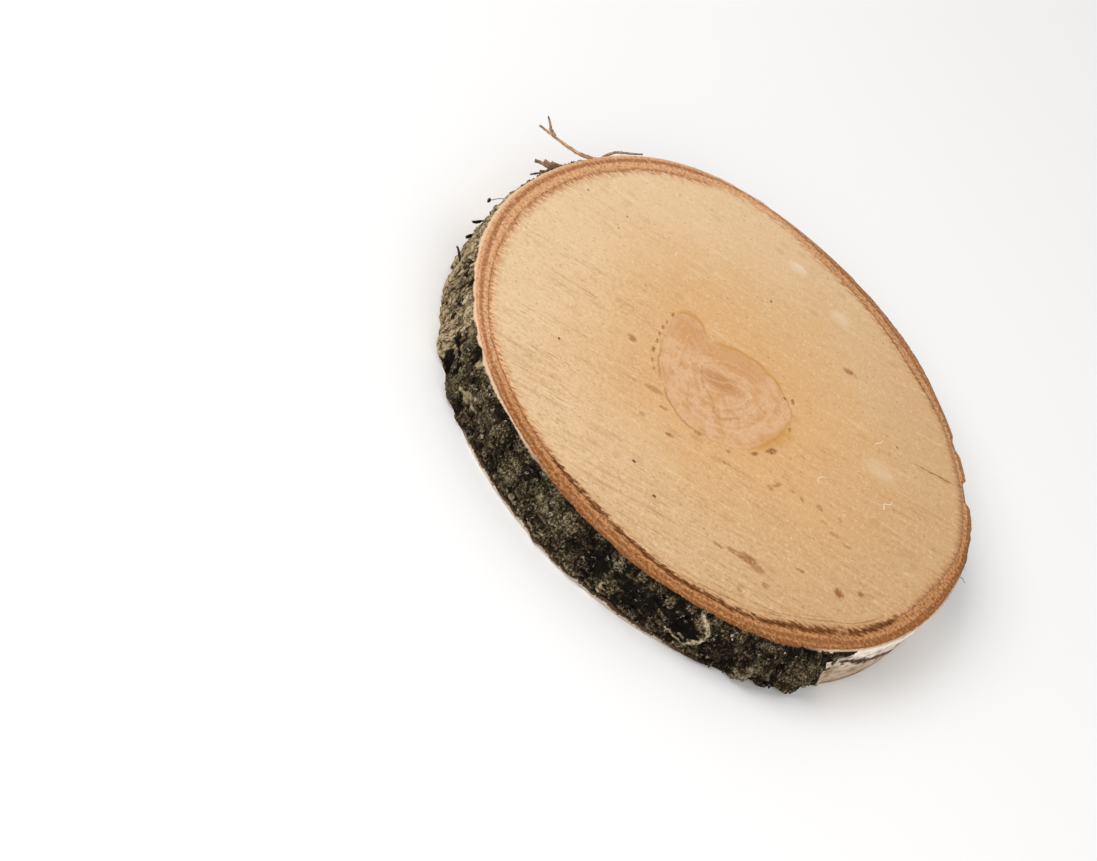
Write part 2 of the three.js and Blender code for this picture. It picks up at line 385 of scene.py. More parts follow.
def saw_relief(u, v):
    """The height of the saw's marks, which run straight along u."""
    patchy = (0.5 + 0.5 * np.sin(v * 0.071 + u * 0.012)) * (0.5 + 0.5 * np.sin(u * 0.09 + v * 0.31))
    coarse = np.sin(v * 1.9 + 2.2 * np.sin(v * 0.23) + 0.4 * np.sin(u * 0.05))
    fine = np.sin(v * 4.1 + 1.7 * np.sin(v * 0.37 + 1.0))
    return patchy * (0.035 * coarse + 0.02 * fine)


def sawn_face(top):
    """Rows of points along the saw's marks, out to the line between wood and bark."""
    turn = np.linspace(-90, 90, FACE_ROWS + 1)[1:-1]
    right = place(SAW_DEGREE + turn, cambium_radius(SAW_DEGREE + turn), 0)
    left = place(SAW_DEGREE + 180 - turn, cambium_radius(SAW_DEGREE + 180 - turn), 0)
    share = np.linspace(0, 1, FACE_COLUMNS + 1)[None, :, None]
    grid = left[:, None] * (1 - share) + right[:, None] * share
    poles = SAW_DEGREE + np.array([-90.0, 90.0])
    points = np.vstack([grid.reshape(-1, 3), place(poles, cambium_radius(poles), 0)])
    saw = math.radians(SAW_DEGREE)
    u = points[:, 0] * math.cos(saw) + points[:, 1] * math.sin(saw)
    v = points[:, 1] * math.cos(saw) - points[:, 0] * math.sin(saw)
    marks = saw_relief(u, v) * smoothstep(0.0, 1.5, rim_attributes(points)["rim"])
    points[:, 2] = THICKNESS + marks if top else np.maximum(marks, 0)
    return points


def face_quads(top):
    """Faces of one sawn face, and its rim as point numbers in order round the slice."""
    rows, columns = FACE_ROWS - 1, FACE_COLUMNS + 1
    index = np.arange(rows * columns).reshape(rows, columns)
    quads = np.stack([index[:-1, :-1], index[:-1, 1:], index[1:, 1:], index[1:, :-1]], -1).reshape(-1, 4)
    low_pole, high_pole = rows * columns, rows * columns + 1
    faces = quads.tolist()
    faces += [[low_pole, index[0, j + 1], index[0, j]] for j in range(columns - 1)]
    faces += [[high_pole, index[-1, j], index[-1, j + 1]] for j in range(columns - 1)]
    rim = [low_pole, *index[:, -1], high_pole, *index[::-1, 0]]
    if not top:
        faces = [face[::-1] for face in faces]
    return faces, np.array(rim)


def disc_uv(points, faces, top_points, wall_start):
    """The upper face large, the lower face smaller, and the hidden wall in a corner."""
    big, small, margin = 0.355, 0.215, 0.01
    flat = points[:, :2] / RADIUS
    upper = flat * big + (big + margin)
    lower = flat * (small, -small) + (1 - small - margin)
    at_point = np.where((np.arange(len(points)) < top_points)[:, None], upper, lower)
    loops = [at_point[face] for face in faces[:wall_start]]
    wall = np.array([(0.9, 0.02), (0.98, 0.02), (0.98, 0.1), (0.9, 0.1)])
    return np.vstack(loops + [wall] * (len(faces) - wall_start))


# Patches of the false heart, as place, half length, half width, turn and strength: what is tan, dark or
# ochre in it, and where the lines round its core, its ochre border and its brown outline show
HEART_PATCHES = {
    "heart_tan": [(-27, 6, 9, 8, 20, 0.9), (-8, 13, 18, 7, 22, 0.85)],
    "heart_dark": [(-5, -2, 9, 5, 24, 1.0)],
    "heart_ochre": [(24.6, -4, 15, 3.2, 74, 0.6)],
    "core_line": [(4.5, -14, 8, 6, 45, 0.7), (-9, -9, 8, 5, -50, 0.45)],
    "ochre_line": [(-4, 21, 22, 7, 15, 0.7), (-29, 14, 9, 5, 20, 0.7), (24, 0, 6, 16, 0, 0.5)],
    "brown_line": [(-27, -20, 6, 10, 25, 0.5), (-8, -33, 18, 6, -4, 0.55), (16, 19, 11, 6, -25, 0.35)],
}


PATCH_EDGE = (0.55, 1.25)


def patch_cover(points, patches):
    """How strongly patches cover points of the sawn face."""
    cover = np.zeros(len(points))
    for x, y, long, wide, turn, strength in patches:
        cos, sin = math.cos(math.radians(turn)), math.sin(math.radians(turn))
        east, north = points[:, 0] - x, points[:, 1] - y
        off = np.hypot((east * cos + north * sin) / long, (north * cos - east * sin) / wide)
        cover = np.maximum(cover, strength * (1 - smoothstep(*PATCH_EDGE, off)))
    return cover


def wood_disc(material):
    upper, lower = sawn_face(True), sawn_face(False)
    upper_faces, rim = face_quads(True)
    lower_faces, _ = face_quads(False)
    shift = len(upper)
    points = np.vstack([upper, lower])
    faces = upper_faces + [[corner + shift for corner in face] for face in lower_faces]
    wall_start = len(faces)
    below = rim + shift
    faces += np.stack([rim, below, np.roll(below, -1), np.roll(rim, -1)], -1).tolist()
    attributes = {
        **rim_attributes(points),
        "heart": inside_distance(points[:, :2], closed_curve(HEART)),
        "core": inside_distance(points[:, :2], closed_curve(CORE)),
        **{name: patch_cover(points, patches) for name, patches in HEART_PATCHES.items()},
    }
    uv = disc_uv(points, faces, shift, wall_start)
    return make_piece("wood_disc", points, faces, material, attributes, uv, flat=len(rim))


# Bark

# Patches lighter or darker than the bark round them: degree, height, half width and half height, how much
TINTS = [
    (-150.3, 20.7, 2.8, 3.6, -1), (-146.5, 23.2, 2, 2.8, -0.9), (-147.8, 17, 1.6, 2, -0.8),
    (-144.8, 14.5, 1.5, 2.6, -0.9), (-141.8, 12.5, 1.8, 2.8, -1), (-143, 18.5, 1.8, 2.4, -0.9),
    (-136.5, 15, 1.4, 3.6, -1), (-135.2, 13, 3.6, 1.2, -0.9), (-134, 5.5, 2.6, 6, -1),
    (-130.6, 11, 1.8, 4.5, -0.9), (-123.8, 5, 2, 4.5, -1), (-124, 12.8, 3, 3.6, 0.6),
    (-126.5, 23.8, 2, 1.5, 0.6), (-133.3, 15.2, 3.5, 1, 0.5), (-134, 20, 4.5, 3, 0.35),
    (-117.5, 14, 10, 10, 0.4), (-110.5, 13, 5, 5, -0.35), (-95.5, 18, 14, 7, 0.25),
    (-84.5, 14.5, 5.5, 9, -0.8), (-81.8, 10, 1.4, 2.4, 0.9), (-109.4, 5, 1.3, 1.5, 0.6),
    (-104.5, 4.7, 1.6, 1.3, 0.8), (-104.3, 8, 1.8, 1.6, 0.4), (-100.6, 16.4, 1.4, 1.6, 0.4),
    (-98.8, 4.4, 1.8, 1.2, 0.9), (-96.4, 3.6, 1.6, 0.9, 0.7), (-92.5, 2.6, 1.6, 0.6, 0.7),
    (-84.7, 4.3, 6, 1.2, 0.5), (-81.6, 5.4, 1.2, 1.4, 0.8), (-75, 15, 12, 9, -0.75),
    (-66.5, 15, 7.5, 8.5, -0.8), (-64.4, 16, 0.8, 1.3, 0.7), (-76.5, 9, 4, 2, -0.4),
    (-72, 4.5, 7, 2.5, 0.25), (-57, 11, 8, 10, -0.6), (-47.3, 20, 1.5, 3, -0.9),
    (-45, 9, 1.3, 7, -1), (-42.8, 4, 1.4, 4, -0.8), (-49.5, 8, 2.4, 6, 0.4),
    (-45.6, 16, 1, 4, 0.45), (-39, 15, 4, 8, 0.1), (-79.5, 19, 6, 7, -0.45),
    (-68.5, 20, 6, 5, -0.4), (-63.8, 13.5, 4, 5, -0.7), (-51.6, 16.3, 3, 5, -0.6),
    (-53, 7.5, 2, 3, -0.6), (-47.3, 9, 1.5, 4, -0.8), (-44, 21.5, 4, 2.5, -0.6),
    (-34.4, 15.2, 1.5, 4.5, -0.8), (-37, 10.5, 3.5, 5, 0.3),
]
# Strokes on the bark, as degree, height and half width: a scar across the white bark, the tongue's pale lip
SCAR = [
    (-31, 18, 1), (-27, 16.8, 1.8), (-24.4, 15.6, 2.2), (-21, 14.2, 1.7),
    (-18.6, 13.2, 2), (-14, 10.6, 1.6), (-8, 8.2, 1.2), (0, 6.4, 0.8),
]
LIP = [
    (-64.4, 24, 0.6), (-62.3, 20.8, 0.8), (-60.9, 16.8, 0.9), (-61.2, 13, 1.1),
    (-62.4, 9.5, 1.5), (-63.8, 7.2, 1.3), (-65.6, 8.3, 0.8), (-68.1, 11.1, 0.5),
]
STROKE_STEPS = 60
# How ragged the patches and strokes are, by lattice and share, and where their edges fade
RAGGED_TINT = (420, 1.7, 97)
TINT_RAGGED = 1.2
TINT_EDGE = (0.55, 1.15)
RAGGED_STROKE = (420, 1.5, 101)
STROKE_RAGGED = 1.6
STROKE_EDGE = (0.6, 1.25)
GREY_ZONE = (-158, 21, 6)
PAPERY_ZONE = (-88, 26, 6)
HEM_ZONE = (-92, 24, 6)
# The crust's torn border: how far it strays in degrees, and a wedge of it above the white bark
TORN_BORDER = (170, 3.2, 103)
TORN_STRAY = 4.5
WEDGE_ZONE = (-33, 4, 4)
WEDGE_REACH = 5.0
WEDGE_Z = (17, 23)


def bark_tint(degree, z):
    """From -1, black, to 1, pale."""
    ragged = 1 + TINT_RAGGED * (bark_noise(degree, z, *RAGGED_TINT) - 0.5)
    tint = np.zeros(np.broadcast(degree, z).shape)
    for middle, level, wide, tall, much in TINTS:
        off = np.hypot(np.radians(degree - middle) * RADIUS / wide, (z - level) / tall) * ragged
        tint = tint + much * (1 - smoothstep(*TINT_EDGE, off))
    return np.clip(tint, -1, 1)


def stroke(degree, z, path):
    """1 on a ragged stroke along a path, 0 off it."""
    ragged = 1 + STROKE_RAGGED * (bark_noise(degree, z, *RAGGED_STROKE) - 0.5)
    off = np.full(np.broadcast(degree, z).shape, np.inf)
    for middle, level, half in open_curve(path, STROKE_STEPS):
        off = np.minimum(off, np.hypot(np.radians(degree - middle) * RADIUS, z - level) / half)
    return 1 - smoothstep(*STROKE_EDGE, off * ragged)


def crust_cover(degree, z):
    """The bark's roughness behind a torn border, for its colours."""
    stray = TORN_STRAY * (bark_noise(degree, z, *TORN_BORDER) - 0.5)
    wedge = WEDGE_REACH * smoothstep(*WEDGE_Z, z) * in_zone(degree, *WEDGE_ZONE)
    return bark_roughness(degree + stray - wedge, z)


def bark_attributes(degree, z, lift, hollow):
    """What the bark's colours go by."""
    return {
        "lift": lift,
        "hollow": hollow,
        "tint": bark_tint(degree, z),
        "scar": stroke(degree, z, SCAR),
        "lip": stroke(degree, z, LIP),
        "crust": crust_cover(degree, z),
        "grey": in_zone(degree, *GREY_ZONE) + 0 * z,
        "papery": in_zone(degree, *PAPERY_ZONE) + 0 * z,
        "hem": in_zone(degree, *HEM_ZONE) + 0 * z,
    }


# Grit on the ring's sawn faces, and how high the sawn rim counts as bark relief
RIM_GRIT = (640, 1, 83)
RIM_GRIT_HEIGHT = 0.5
RIM_GRIT_STRETCH = 7
SAWN_LIFT = 0.5


def ring_rows():
    """Row by row over the ring: radius, height, share of the bark's outside, relief, depth in a crack."""
    degree = np.arange(RING_COLUMNS) * 360 / RING_COLUMNS - 180
    nought = np.zeros(RING_COLUMNS)
    inner = cambium_radius(degree)
    top_edge = bark_surface(degree, nought + THICKNESS - RIM_DROP)
    low_edge = bark_surface(degree, nought + RIM_DROP)
    upper, side, lower = [], [], []
    for t in np.linspace(0, 1, RING_FACE_ROWS + 1):
        noise = bark_noise(degree, nought + t * RIM_GRIT_STRETCH, *RIM_GRIT)
        sunk = RIM_DROP * t + RIM_GRIT_HEIGHT * (noise - 0.5) * math.sin(math.pi * t)
        rest = (nought + 0.5 * (t == 1), nought + SAWN_LIFT, nought)
        upper.append((inner + (top_edge - inner) * t, THICKNESS - sunk, *rest))
        lower.append((inner + (low_edge - inner) * t, nought + np.maximum(sunk, 0), *rest))
    for z in np.linspace(THICKNESS - RIM_DROP, RIM_DROP, RING_SIDE_ROWS + 1)[1:-1]:
        level = nought + z
        fine, hollow = fine_bark(degree, level)
        height = bark_height(degree, level) + fine
        lift = np.minimum(height / (bark_roughness(degree, level) + SMOOTH_BARK_HEIGHT), 1)
        side.append((rim_radius(degree) + height, level, nought + 1, lift, hollow))
    return degree, np.array(upper + side + lower[::-1])


def ring_uv(row_lengths):
    """The ring unrolled into a few strips above each other, one corner list for each face."""
    low_margin, tall, side_margin, wide = 0.01, 0.97, 0.004, 0.992
    per_strip = RING_COLUMNS // RING_UV_STRIPS
    height = np.concatenate([[0], np.cumsum(row_lengths)])
    height = low_margin + tall * height / height[-1]
    column = np.arange(RING_COLUMNS)
    strip = column // per_strip
    left = side_margin + wide * (column % per_strip) / per_strip
    right = left + wide / per_strip
    corners = []
    for low, high in zip(height[:-1], height[1:]):
        v_low, v_high = (strip + low) / RING_UV_STRIPS, (strip + high) / RING_UV_STRIPS
        corners.append(np.stack([left, v_low, left, v_high, right, v_high, right, v_low], -1))
    return np.vstack(corners).reshape(-1, 2)


def bark_ring(material):
    degree, rows = ring_rows()
    radius, z, side, lift, hollow = rows.transpose(1, 0, 2)
    points = place(degree[None], radius, z)
    index = np.arange(radius.size).reshape(radius.shape)
    beside = np.roll(index, -1, axis=1)
    faces = np.stack([index, np.roll(index, -1, 0), np.roll(beside, -1, 0), beside], -1).reshape(-1, 4)
    hidden_wall = 0.4
    lengths = np.linalg.norm(np.diff(points, axis=0), axis=-1).mean(1)
    attributes = {
        **bark_attributes(degree[None], z, lift, hollow),
        **rim_attributes(points),
        "side": side,
    }
    uv = ring_uv(np.append(lengths, hidden_wall))
    points, faces = points.reshape(-1, 3), faces.tolist()
    return make_piece("bark_ring", points, faces, material, attributes, uv, flat=RING_COLUMNS)


SLIVER_STEPS = 44
RIBBON_SIDES = 10
# How slivers wave, twist and darken at the tip, and how the strands of a frayed one part
SLIVER_WAVE, SLIVER_WAVES = 0.5, 7
SLIVER_TWIST = 0.3
SLIVER_WOBBLE = 0.4
DARK_TIP = (0.75, 1.0)
TIP_DARKER = 0.5
STRAND_SHORTER = 7
STRAND_ROOT, STRAND_PARTING = 0.45, 0.9
STRAND_WAY = (0, 0.3, 1)


def sliver_form(form, t):
    """Width and thickness along a sliver, as shares of its size."""
    if form == "leaf":
        swell = smoothstep(0.45, 0.75, t) * (1 - smoothstep(0.8, 1, t))
        return 0.3 + 0.9 * swell - 0.2 * smoothstep(0.8, 1, t), 0.3 + 0.2 * swell
    if form == "blob":
        swell = np.exp(-(((t - 0.92) / 0.07) ** 2))
        return 0.18 + 1.2 * swell, 0.2 + 1.0 * swell
    if form == "frayed":
        return 1 - 0.35 * t, 0.8 - 0.3 * t
    return 1 - 0.6 * t, 1.2 - 0.7 * t


def ribbon(path, width, thickness, twist=0.0, wobble=0.0, seed=0):
    """A closed ribbon along a path: a flat oval section that stands on edge."""
    rng = np.random.default_rng(seed)
    run = np.gradient(path, axis=0)
    run /= np.linalg.norm(run, axis=1)[:, None]
    up = np.array([0, 0, 1.0]) - run * run[:, 2:3]
    up /= np.linalg.norm(up, axis=1)[:, None]
    out = np.cross(run, up)
    turn = np.linspace(0, twist, len(path))[:, None]
    up, out = up * np.cos(turn) + out * np.sin(turn), out * np.cos(turn) - up * np.sin(turn)
    angle = np.arange(RIBBON_SIDES) * 2 * np.pi / RIBBON_SIDES
    rough = 1 + wobble * (rng.random((len(path), RIBBON_SIDES)) - 0.5)
    half_wide = (width / 2)[:, None] * np.cos(angle) * rough
    half_thick = (thickness / 2)[:, None] * np.sin(angle) * rough
    body = path[:, None] + up[:, None] * half_wide[..., None] + out[:, None] * half_thick[..., None]
    points = np.vstack([body.reshape(-1, 3), path[:1], path[-1:]])
    return points, tube_faces(len(path), RIBBON_SIDES)


def sliver_strands(form):
    """How far each strand of a sliver lies off its middle, and its size."""
    return [(-0.5, 0.75), (0.0, 0.7), (0.45, 0.6)] if form == "frayed" else [(0.0, 1.0)]


def bark_slivers(material):
    parts, dark = [], []
    t = np.linspace(0, 1, SLIVER_STEPS)
    for number, (z, width, shade, form, path) in enumerate(SLIVERS):
        degree, out = np.array(path, float).T
        curve = open_curve(place(degree, rim_radius(degree) + out, z), SLIVER_STEPS)
        curve[:, 2] += SLIVER_WAVE * np.sin(t * SLIVER_WAVES + number) * t
        wide, thick = sliver_form(form, t)
        twist = SLIVER_TWIST * (number % 3 - 1)
        for strand, (offset, size) in enumerate(sliver_strands(form)):
            keep = SLIVER_STEPS - STRAND_SHORTER * strand
            parting = offset * width * (STRAND_ROOT + STRAND_PARTING * t**2)
            middle = (curve + np.outer(parting, STRAND_WAY))[:keep]
            sizes = width * size * wide[:keep], SLIVER_THICKNESS * thick[:keep]
            parts.append(ribbon(middle, *sizes, twist, SLIVER_WOBBLE, seed=number * 10 + strand))
            tip = smoothstep(*DARK_TIP, np.repeat(t[:keep], RIBBON_SIDES))
            dark.append(np.append(np.clip(shade + TIP_DARKER * tip, 0, 1), [shade, 1.0]))
    points, faces = join(parts)
    return make_piece("bark_slivers", points, faces, material, {"dark": np.concatenate(dark)})


FLAKE_COUNT = 380
TRIES_PER_FLAKE = 14
FLAKE_Z = (2.0, THICKNESS - 2.2)
FLAKE_SIDES = 14
# Rings of a flake: share of its outline, how far off the bark
FLAKE_RINGS = [(0.8, -0.7), (1.0, 0.05), (0.94, 0.2), (0.5, 0.24)]
FLAKE_BOTTOM, FLAKE_TOP = -0.7, 0.24
FLAKE_REACH = (0.5, 1.25)
FLAKE_HALF_WIDTH = (0.6, 1.3)
FLAKE_HALF_HEIGHT = (0.9, 2.6)
FLAKE_LEAN = (-0.6, 0.6)
FLAKE_CURL = (0.1, 0.5)
FLAKE_STAND = (0.6, 1.3)
FLAKE_EDGE = 0.8
FLAKE_DIP = -0.3
FLAKE_TONES = (300, 3, 47)
FLAKE_TONE = 1.2
FLAKE_SEED = 17
# A fringe of flakes along the upper edge
FRINGE_COUNT = 120
FRINGE_DEGREES = (160, 183)
FRINGE_Z = (22.2, 24.6)


def rough_places(count, rng):
    """Degrees and heights spread over the rough bark, more where it is rougher."""
    middle = THICKNESS / 2
    most = bark_roughness(np.arange(-180.0, 180.0), middle).max()
    degree = rng.uniform(-180, 180, count * TRIES_PER_FLAKE)
    degree = degree[rng.random(len(degree)) * most < bark_roughness(degree, middle)][:count]
    return degree, rng.uniform(*FLAKE_Z, len(degree))


def bark_flake(degree, z, rng):
    """A loose flake, longer along the trunk than across, that has lifted off the bark at one end."""
    corner = np.arange(FLAKE_SIDES) * 2 * np.pi / FLAKE_SIDES
    share, off = np.array(FLAKE_RINGS).T
    reach = rng.uniform(*FLAKE_REACH, FLAKE_SIDES)
    across = rng.uniform(*FLAKE_HALF_WIDTH) * reach * np.cos(corner)
    up = rng.uniform(*FLAKE_HALF_HEIGHT) * reach * np.sin(corner)
    lean = rng.uniform(*FLAKE_LEAN)
    across, up = across * math.cos(lean) - up * math.sin(lean), across * math.sin(lean) + up * math.cos(lean)
    curl = rng.uniform(*FLAKE_CURL) * rng.choice([-1, 1])
    ring_across = np.append(np.outer(share, across), [0, 0])
    ring_up = np.append(np.outer(share, up), [0, 0])
    ring_off = np.append(np.repeat(off, FLAKE_SIDES), [FLAKE_BOTTOM, FLAKE_TOP])
    level = np.clip(z + ring_up, FLAKE_EDGE, THICKNESS - FLAKE_EDGE)
    turn = degree + np.degrees(ring_across / RADIUS)
    stand = ring_off * rng.uniform(*FLAKE_STAND) + np.maximum(curl * ring_up, FLAKE_DIP)
    radius = rim_radius(turn) + bark_height(turn, level) + stand
    return place(turn, radius, level), tube_faces(len(FLAKE_RINGS), FLAKE_SIDES)


def bark_flakes(material):
    rng = np.random.default_rng(FLAKE_SEED)
    fringe = rng.uniform(*FRINGE_DEGREES, FRINGE_COUNT), rng.uniform(*FRINGE_Z, FRINGE_COUNT)
    places = np.hstack([rough_places(FLAKE_COUNT, rng), fringe])
    points, faces = join([bark_flake(degree, z, rng) for degree, z in places.T])
    degree, z = polar_degree(points), points[:, 2]
    attributes = {
        **bark_attributes(degree, z, FLAKE_TONE * bark_noise(degree, z, *FLAKE_TONES), 0 * degree),
        **rim_attributes(points),
        "crust": 0 * degree + 1,
        "side": 0 * degree + 1,
    }
    return make_piece("bark_flakes", points, faces, material, attributes)


# Clusters of lichen: degree, height, spread in degrees and millimetres, how many
LICHEN = [
    (-103, 4.6, 4, 0.7, 8), (-96, 3.8, 3, 0.7, 8), (-73, 4, 4, 1.6, 14), (-49.5, 5, 1.5, 3, 10),
    (-98, 16, 7, 5, 6), (-150, 12, 9, 6, 10), (-118, 14, 7, 6, 5), (-60, 8, 4, 5, 4),
    (-40, 13, 3, 6, 8), (78, 13, 9, 7, 14), (22, 13, 4, 7, 8), (123, 13, 5, 7, 8),
]
LICHEN_SIDES = 13
# Rings of a crumb: share of its outline, how far off the bark; and its two ends
LICHEN_RINGS = [(0.9, -0.6), (1.0, 0.1), (0.55, 0.22)]
LICHEN_ENDS = (-0.6, 0.2)
LICHEN_SIZE = (0.4, 1.1)
LICHEN_LOBES = (0.35, 1.3)
LICHEN_RUFFLE = (-0.15, 0.2)
LICHEN_Z = (1.2, THICKNESS - 1.5)
LICHEN_SEED = 29


def lichen_crumb(degree, z, rng):
    """A ruffled crumb with its foot sunk in the bark."""
    corner = np.arange(LICHEN_SIDES) * 2 * np.pi / LICHEN_SIDES
    size = rng.uniform(*LICHEN_SIZE)
    lobes = rng.uniform(*LICHEN_LOBES, LICHEN_SIDES)
    ruffle = rng.uniform(*LICHEN_RUFFLE, LICHEN_SIDES)
    base = float(bark_surface(np.array([degree]), np.array([z]))[0])
    rings = []
    for share, lift in LICHEN_RINGS:
        turn = degree + np.degrees(size * share * lobes * np.cos(corner) / RADIUS)
        rings.append(place(turn, base + lift + ruffle * share, z + size * share * lobes * np.sin(corner)))
    ends = place(np.array([degree, degree]), base + np.array(LICHEN_ENDS), np.array([z, z]))
    return np.vstack(rings + [ends]), tube_faces(len(LICHEN_RINGS), LICHEN_SIDES)


def lichen(material):
    rng = np.random.default_rng(LICHEN_SEED)
    crumbs = []
    for middle, level, spread, tall, count in LICHEN:
        for _ in range(count):
            degree = rng.normal(middle, spread)
            z = float(np.clip(rng.normal(level, tall), *LICHEN_Z))
            crumbs.append(lichen_crumb(degree, z, rng))
    points, faces = join(crumbs)
    return make_piece("lichen", points, faces, material)


# Loose fibres on the sawn face and along its rim
FACE_CURLS = [
    [(55.3, 46), (55.4, 43.5), (54.4, 41), (54.0, 38.3)],
    [(73.2, 22), (73.9, 19.4), (71.8, 16.8), (73.1, 14.4), (70.9, 12.8)],
    [(49.4, 3.5), (47.3, 1.2), (46.6, -1.6), (48.1, -3.9)],
    [(-53.6, 37), (-52.8, 35.6), (-53.2, 34.2)],
]
CURL_STEPS = 26
CURL_SIZE = 0.36
CURL_LIFT = 0.06
RIM_HAIR = [(12.5, -1.5), (12.4, 1.0), (12.9, 3.2), (12.2, 5.0)]
RIM_HAIR_Z = 20
HAIR_STEPS = 20
# Fibres at the rim: how far inside it, in three bands with their odds, their size, and how they stray
RIM_FIBRES = 260
FIBRE_SPREAD = 0.5
FIBRE_BANDS = [0.0, 1.5, 5.0]
FIBRE_ODDS = [0.7, 0.2, 0.1]
FIBRE_FOOT_Z = THICKNESS - RIM_DROP - 0.15
FIBRE_LENGTH = (0.4, 1.3)
FIBRE_STRAY = 30
FIBRE_RISE = (0.0, 0.35)
FIBRE_BOW = 0.1
FIBRE_WIDTHS = [0.22, 0.16, 0.05]
FIBRE_SIZE = (0.7, 1.4)
FIBRE_BROWN = (0.3, 1)
FIBRE_SEED = 37
FIRST_RIBBON_SEED = 1000


def face_curl(curl, seed):
    """A curl of wood that lies on the sawn face."""
    path = open_curve([(x, y, THICKNESS + CURL_LIFT) for x, y in curl], CURL_STEPS)
    size = CURL_SIZE * np.sin(np.pi * np.linspace(0.06, 0.96, CURL_STEPS))
    return ribbon(path, 0.8 * size, size * 1.3, wobble=0.6, seed=seed)


def rim_hair():
    """A hair of bark that stands out of the rim."""
    degree, out = np.array(RIM_HAIR).T
    path = open_curve(place(degree, rim_radius(degree) + out, RIM_HAIR_Z), HAIR_STEPS)
    width, thickness = np.linspace(0.5, 0.2, HAIR_STEPS), np.linspace(0.4, 0.2, HAIR_STEPS)
    return ribbon(path, width, thickness, wobble=0.3)


def rim_fibre(seed, rng):
    """A short fibre that the saw pulled up at the rim."""
    degree = rng.uniform(-180, 180)
    radius = float(rim_radius(degree)) - abs(rng.normal(0, FIBRE_SPREAD))
    radius = radius - rng.choice(FIBRE_BANDS, p=FIBRE_ODDS)
    length = rng.uniform(*FIBRE_LENGTH)
    foot = place(np.array([degree]), radius, FIBRE_FOOT_Z)[0]
    way = SAW_DEGREE + rng.choice([0, 180]) + rng.normal(0, FIBRE_STRAY)
    along = place(np.array([way]), length, rng.uniform(*FIBRE_RISE))[0]
    path = np.array([foot, foot + 0.5 * along + (0, 0, FIBRE_BOW * length), foot + along])
    thin = np.array(FIBRE_WIDTHS) * rng.uniform(*FIBRE_SIZE)
    return ribbon(path, thin, thin, seed=seed)


def wood_fibres(material):
    rng = np.random.default_rng(FIBRE_SEED)
    parts = [face_curl(curl, number) for number, curl in enumerate(FACE_CURLS)]
    parts.append(rim_hair())
    shades = [0.0] * len(FACE_CURLS) + [1.0]
    for number in range(RIM_FIBRES):
        parts.append(rim_fibre(FIRST_RIBBON_SEED + number, rng))
        shades.append(rng.uniform(*FIBRE_BROWN))
    brown = np.repeat(shades, [len(part_points) for part_points, _ in parts])
    points, faces = join(parts)
    return make_piece("wood_fibres", points, faces, material, {"brown": brown})


# Materials

def srgb(red, green, blue):
    """A colour given as it looks on a screen, for a shader."""
    share = np.array([red, green, blue]) / 255
    linear = np.where(share <= 0.04045, share / 12.92, ((share + 0.055) / 1.055) ** 2.4)
    return (*linear.tolist(), 1.0)


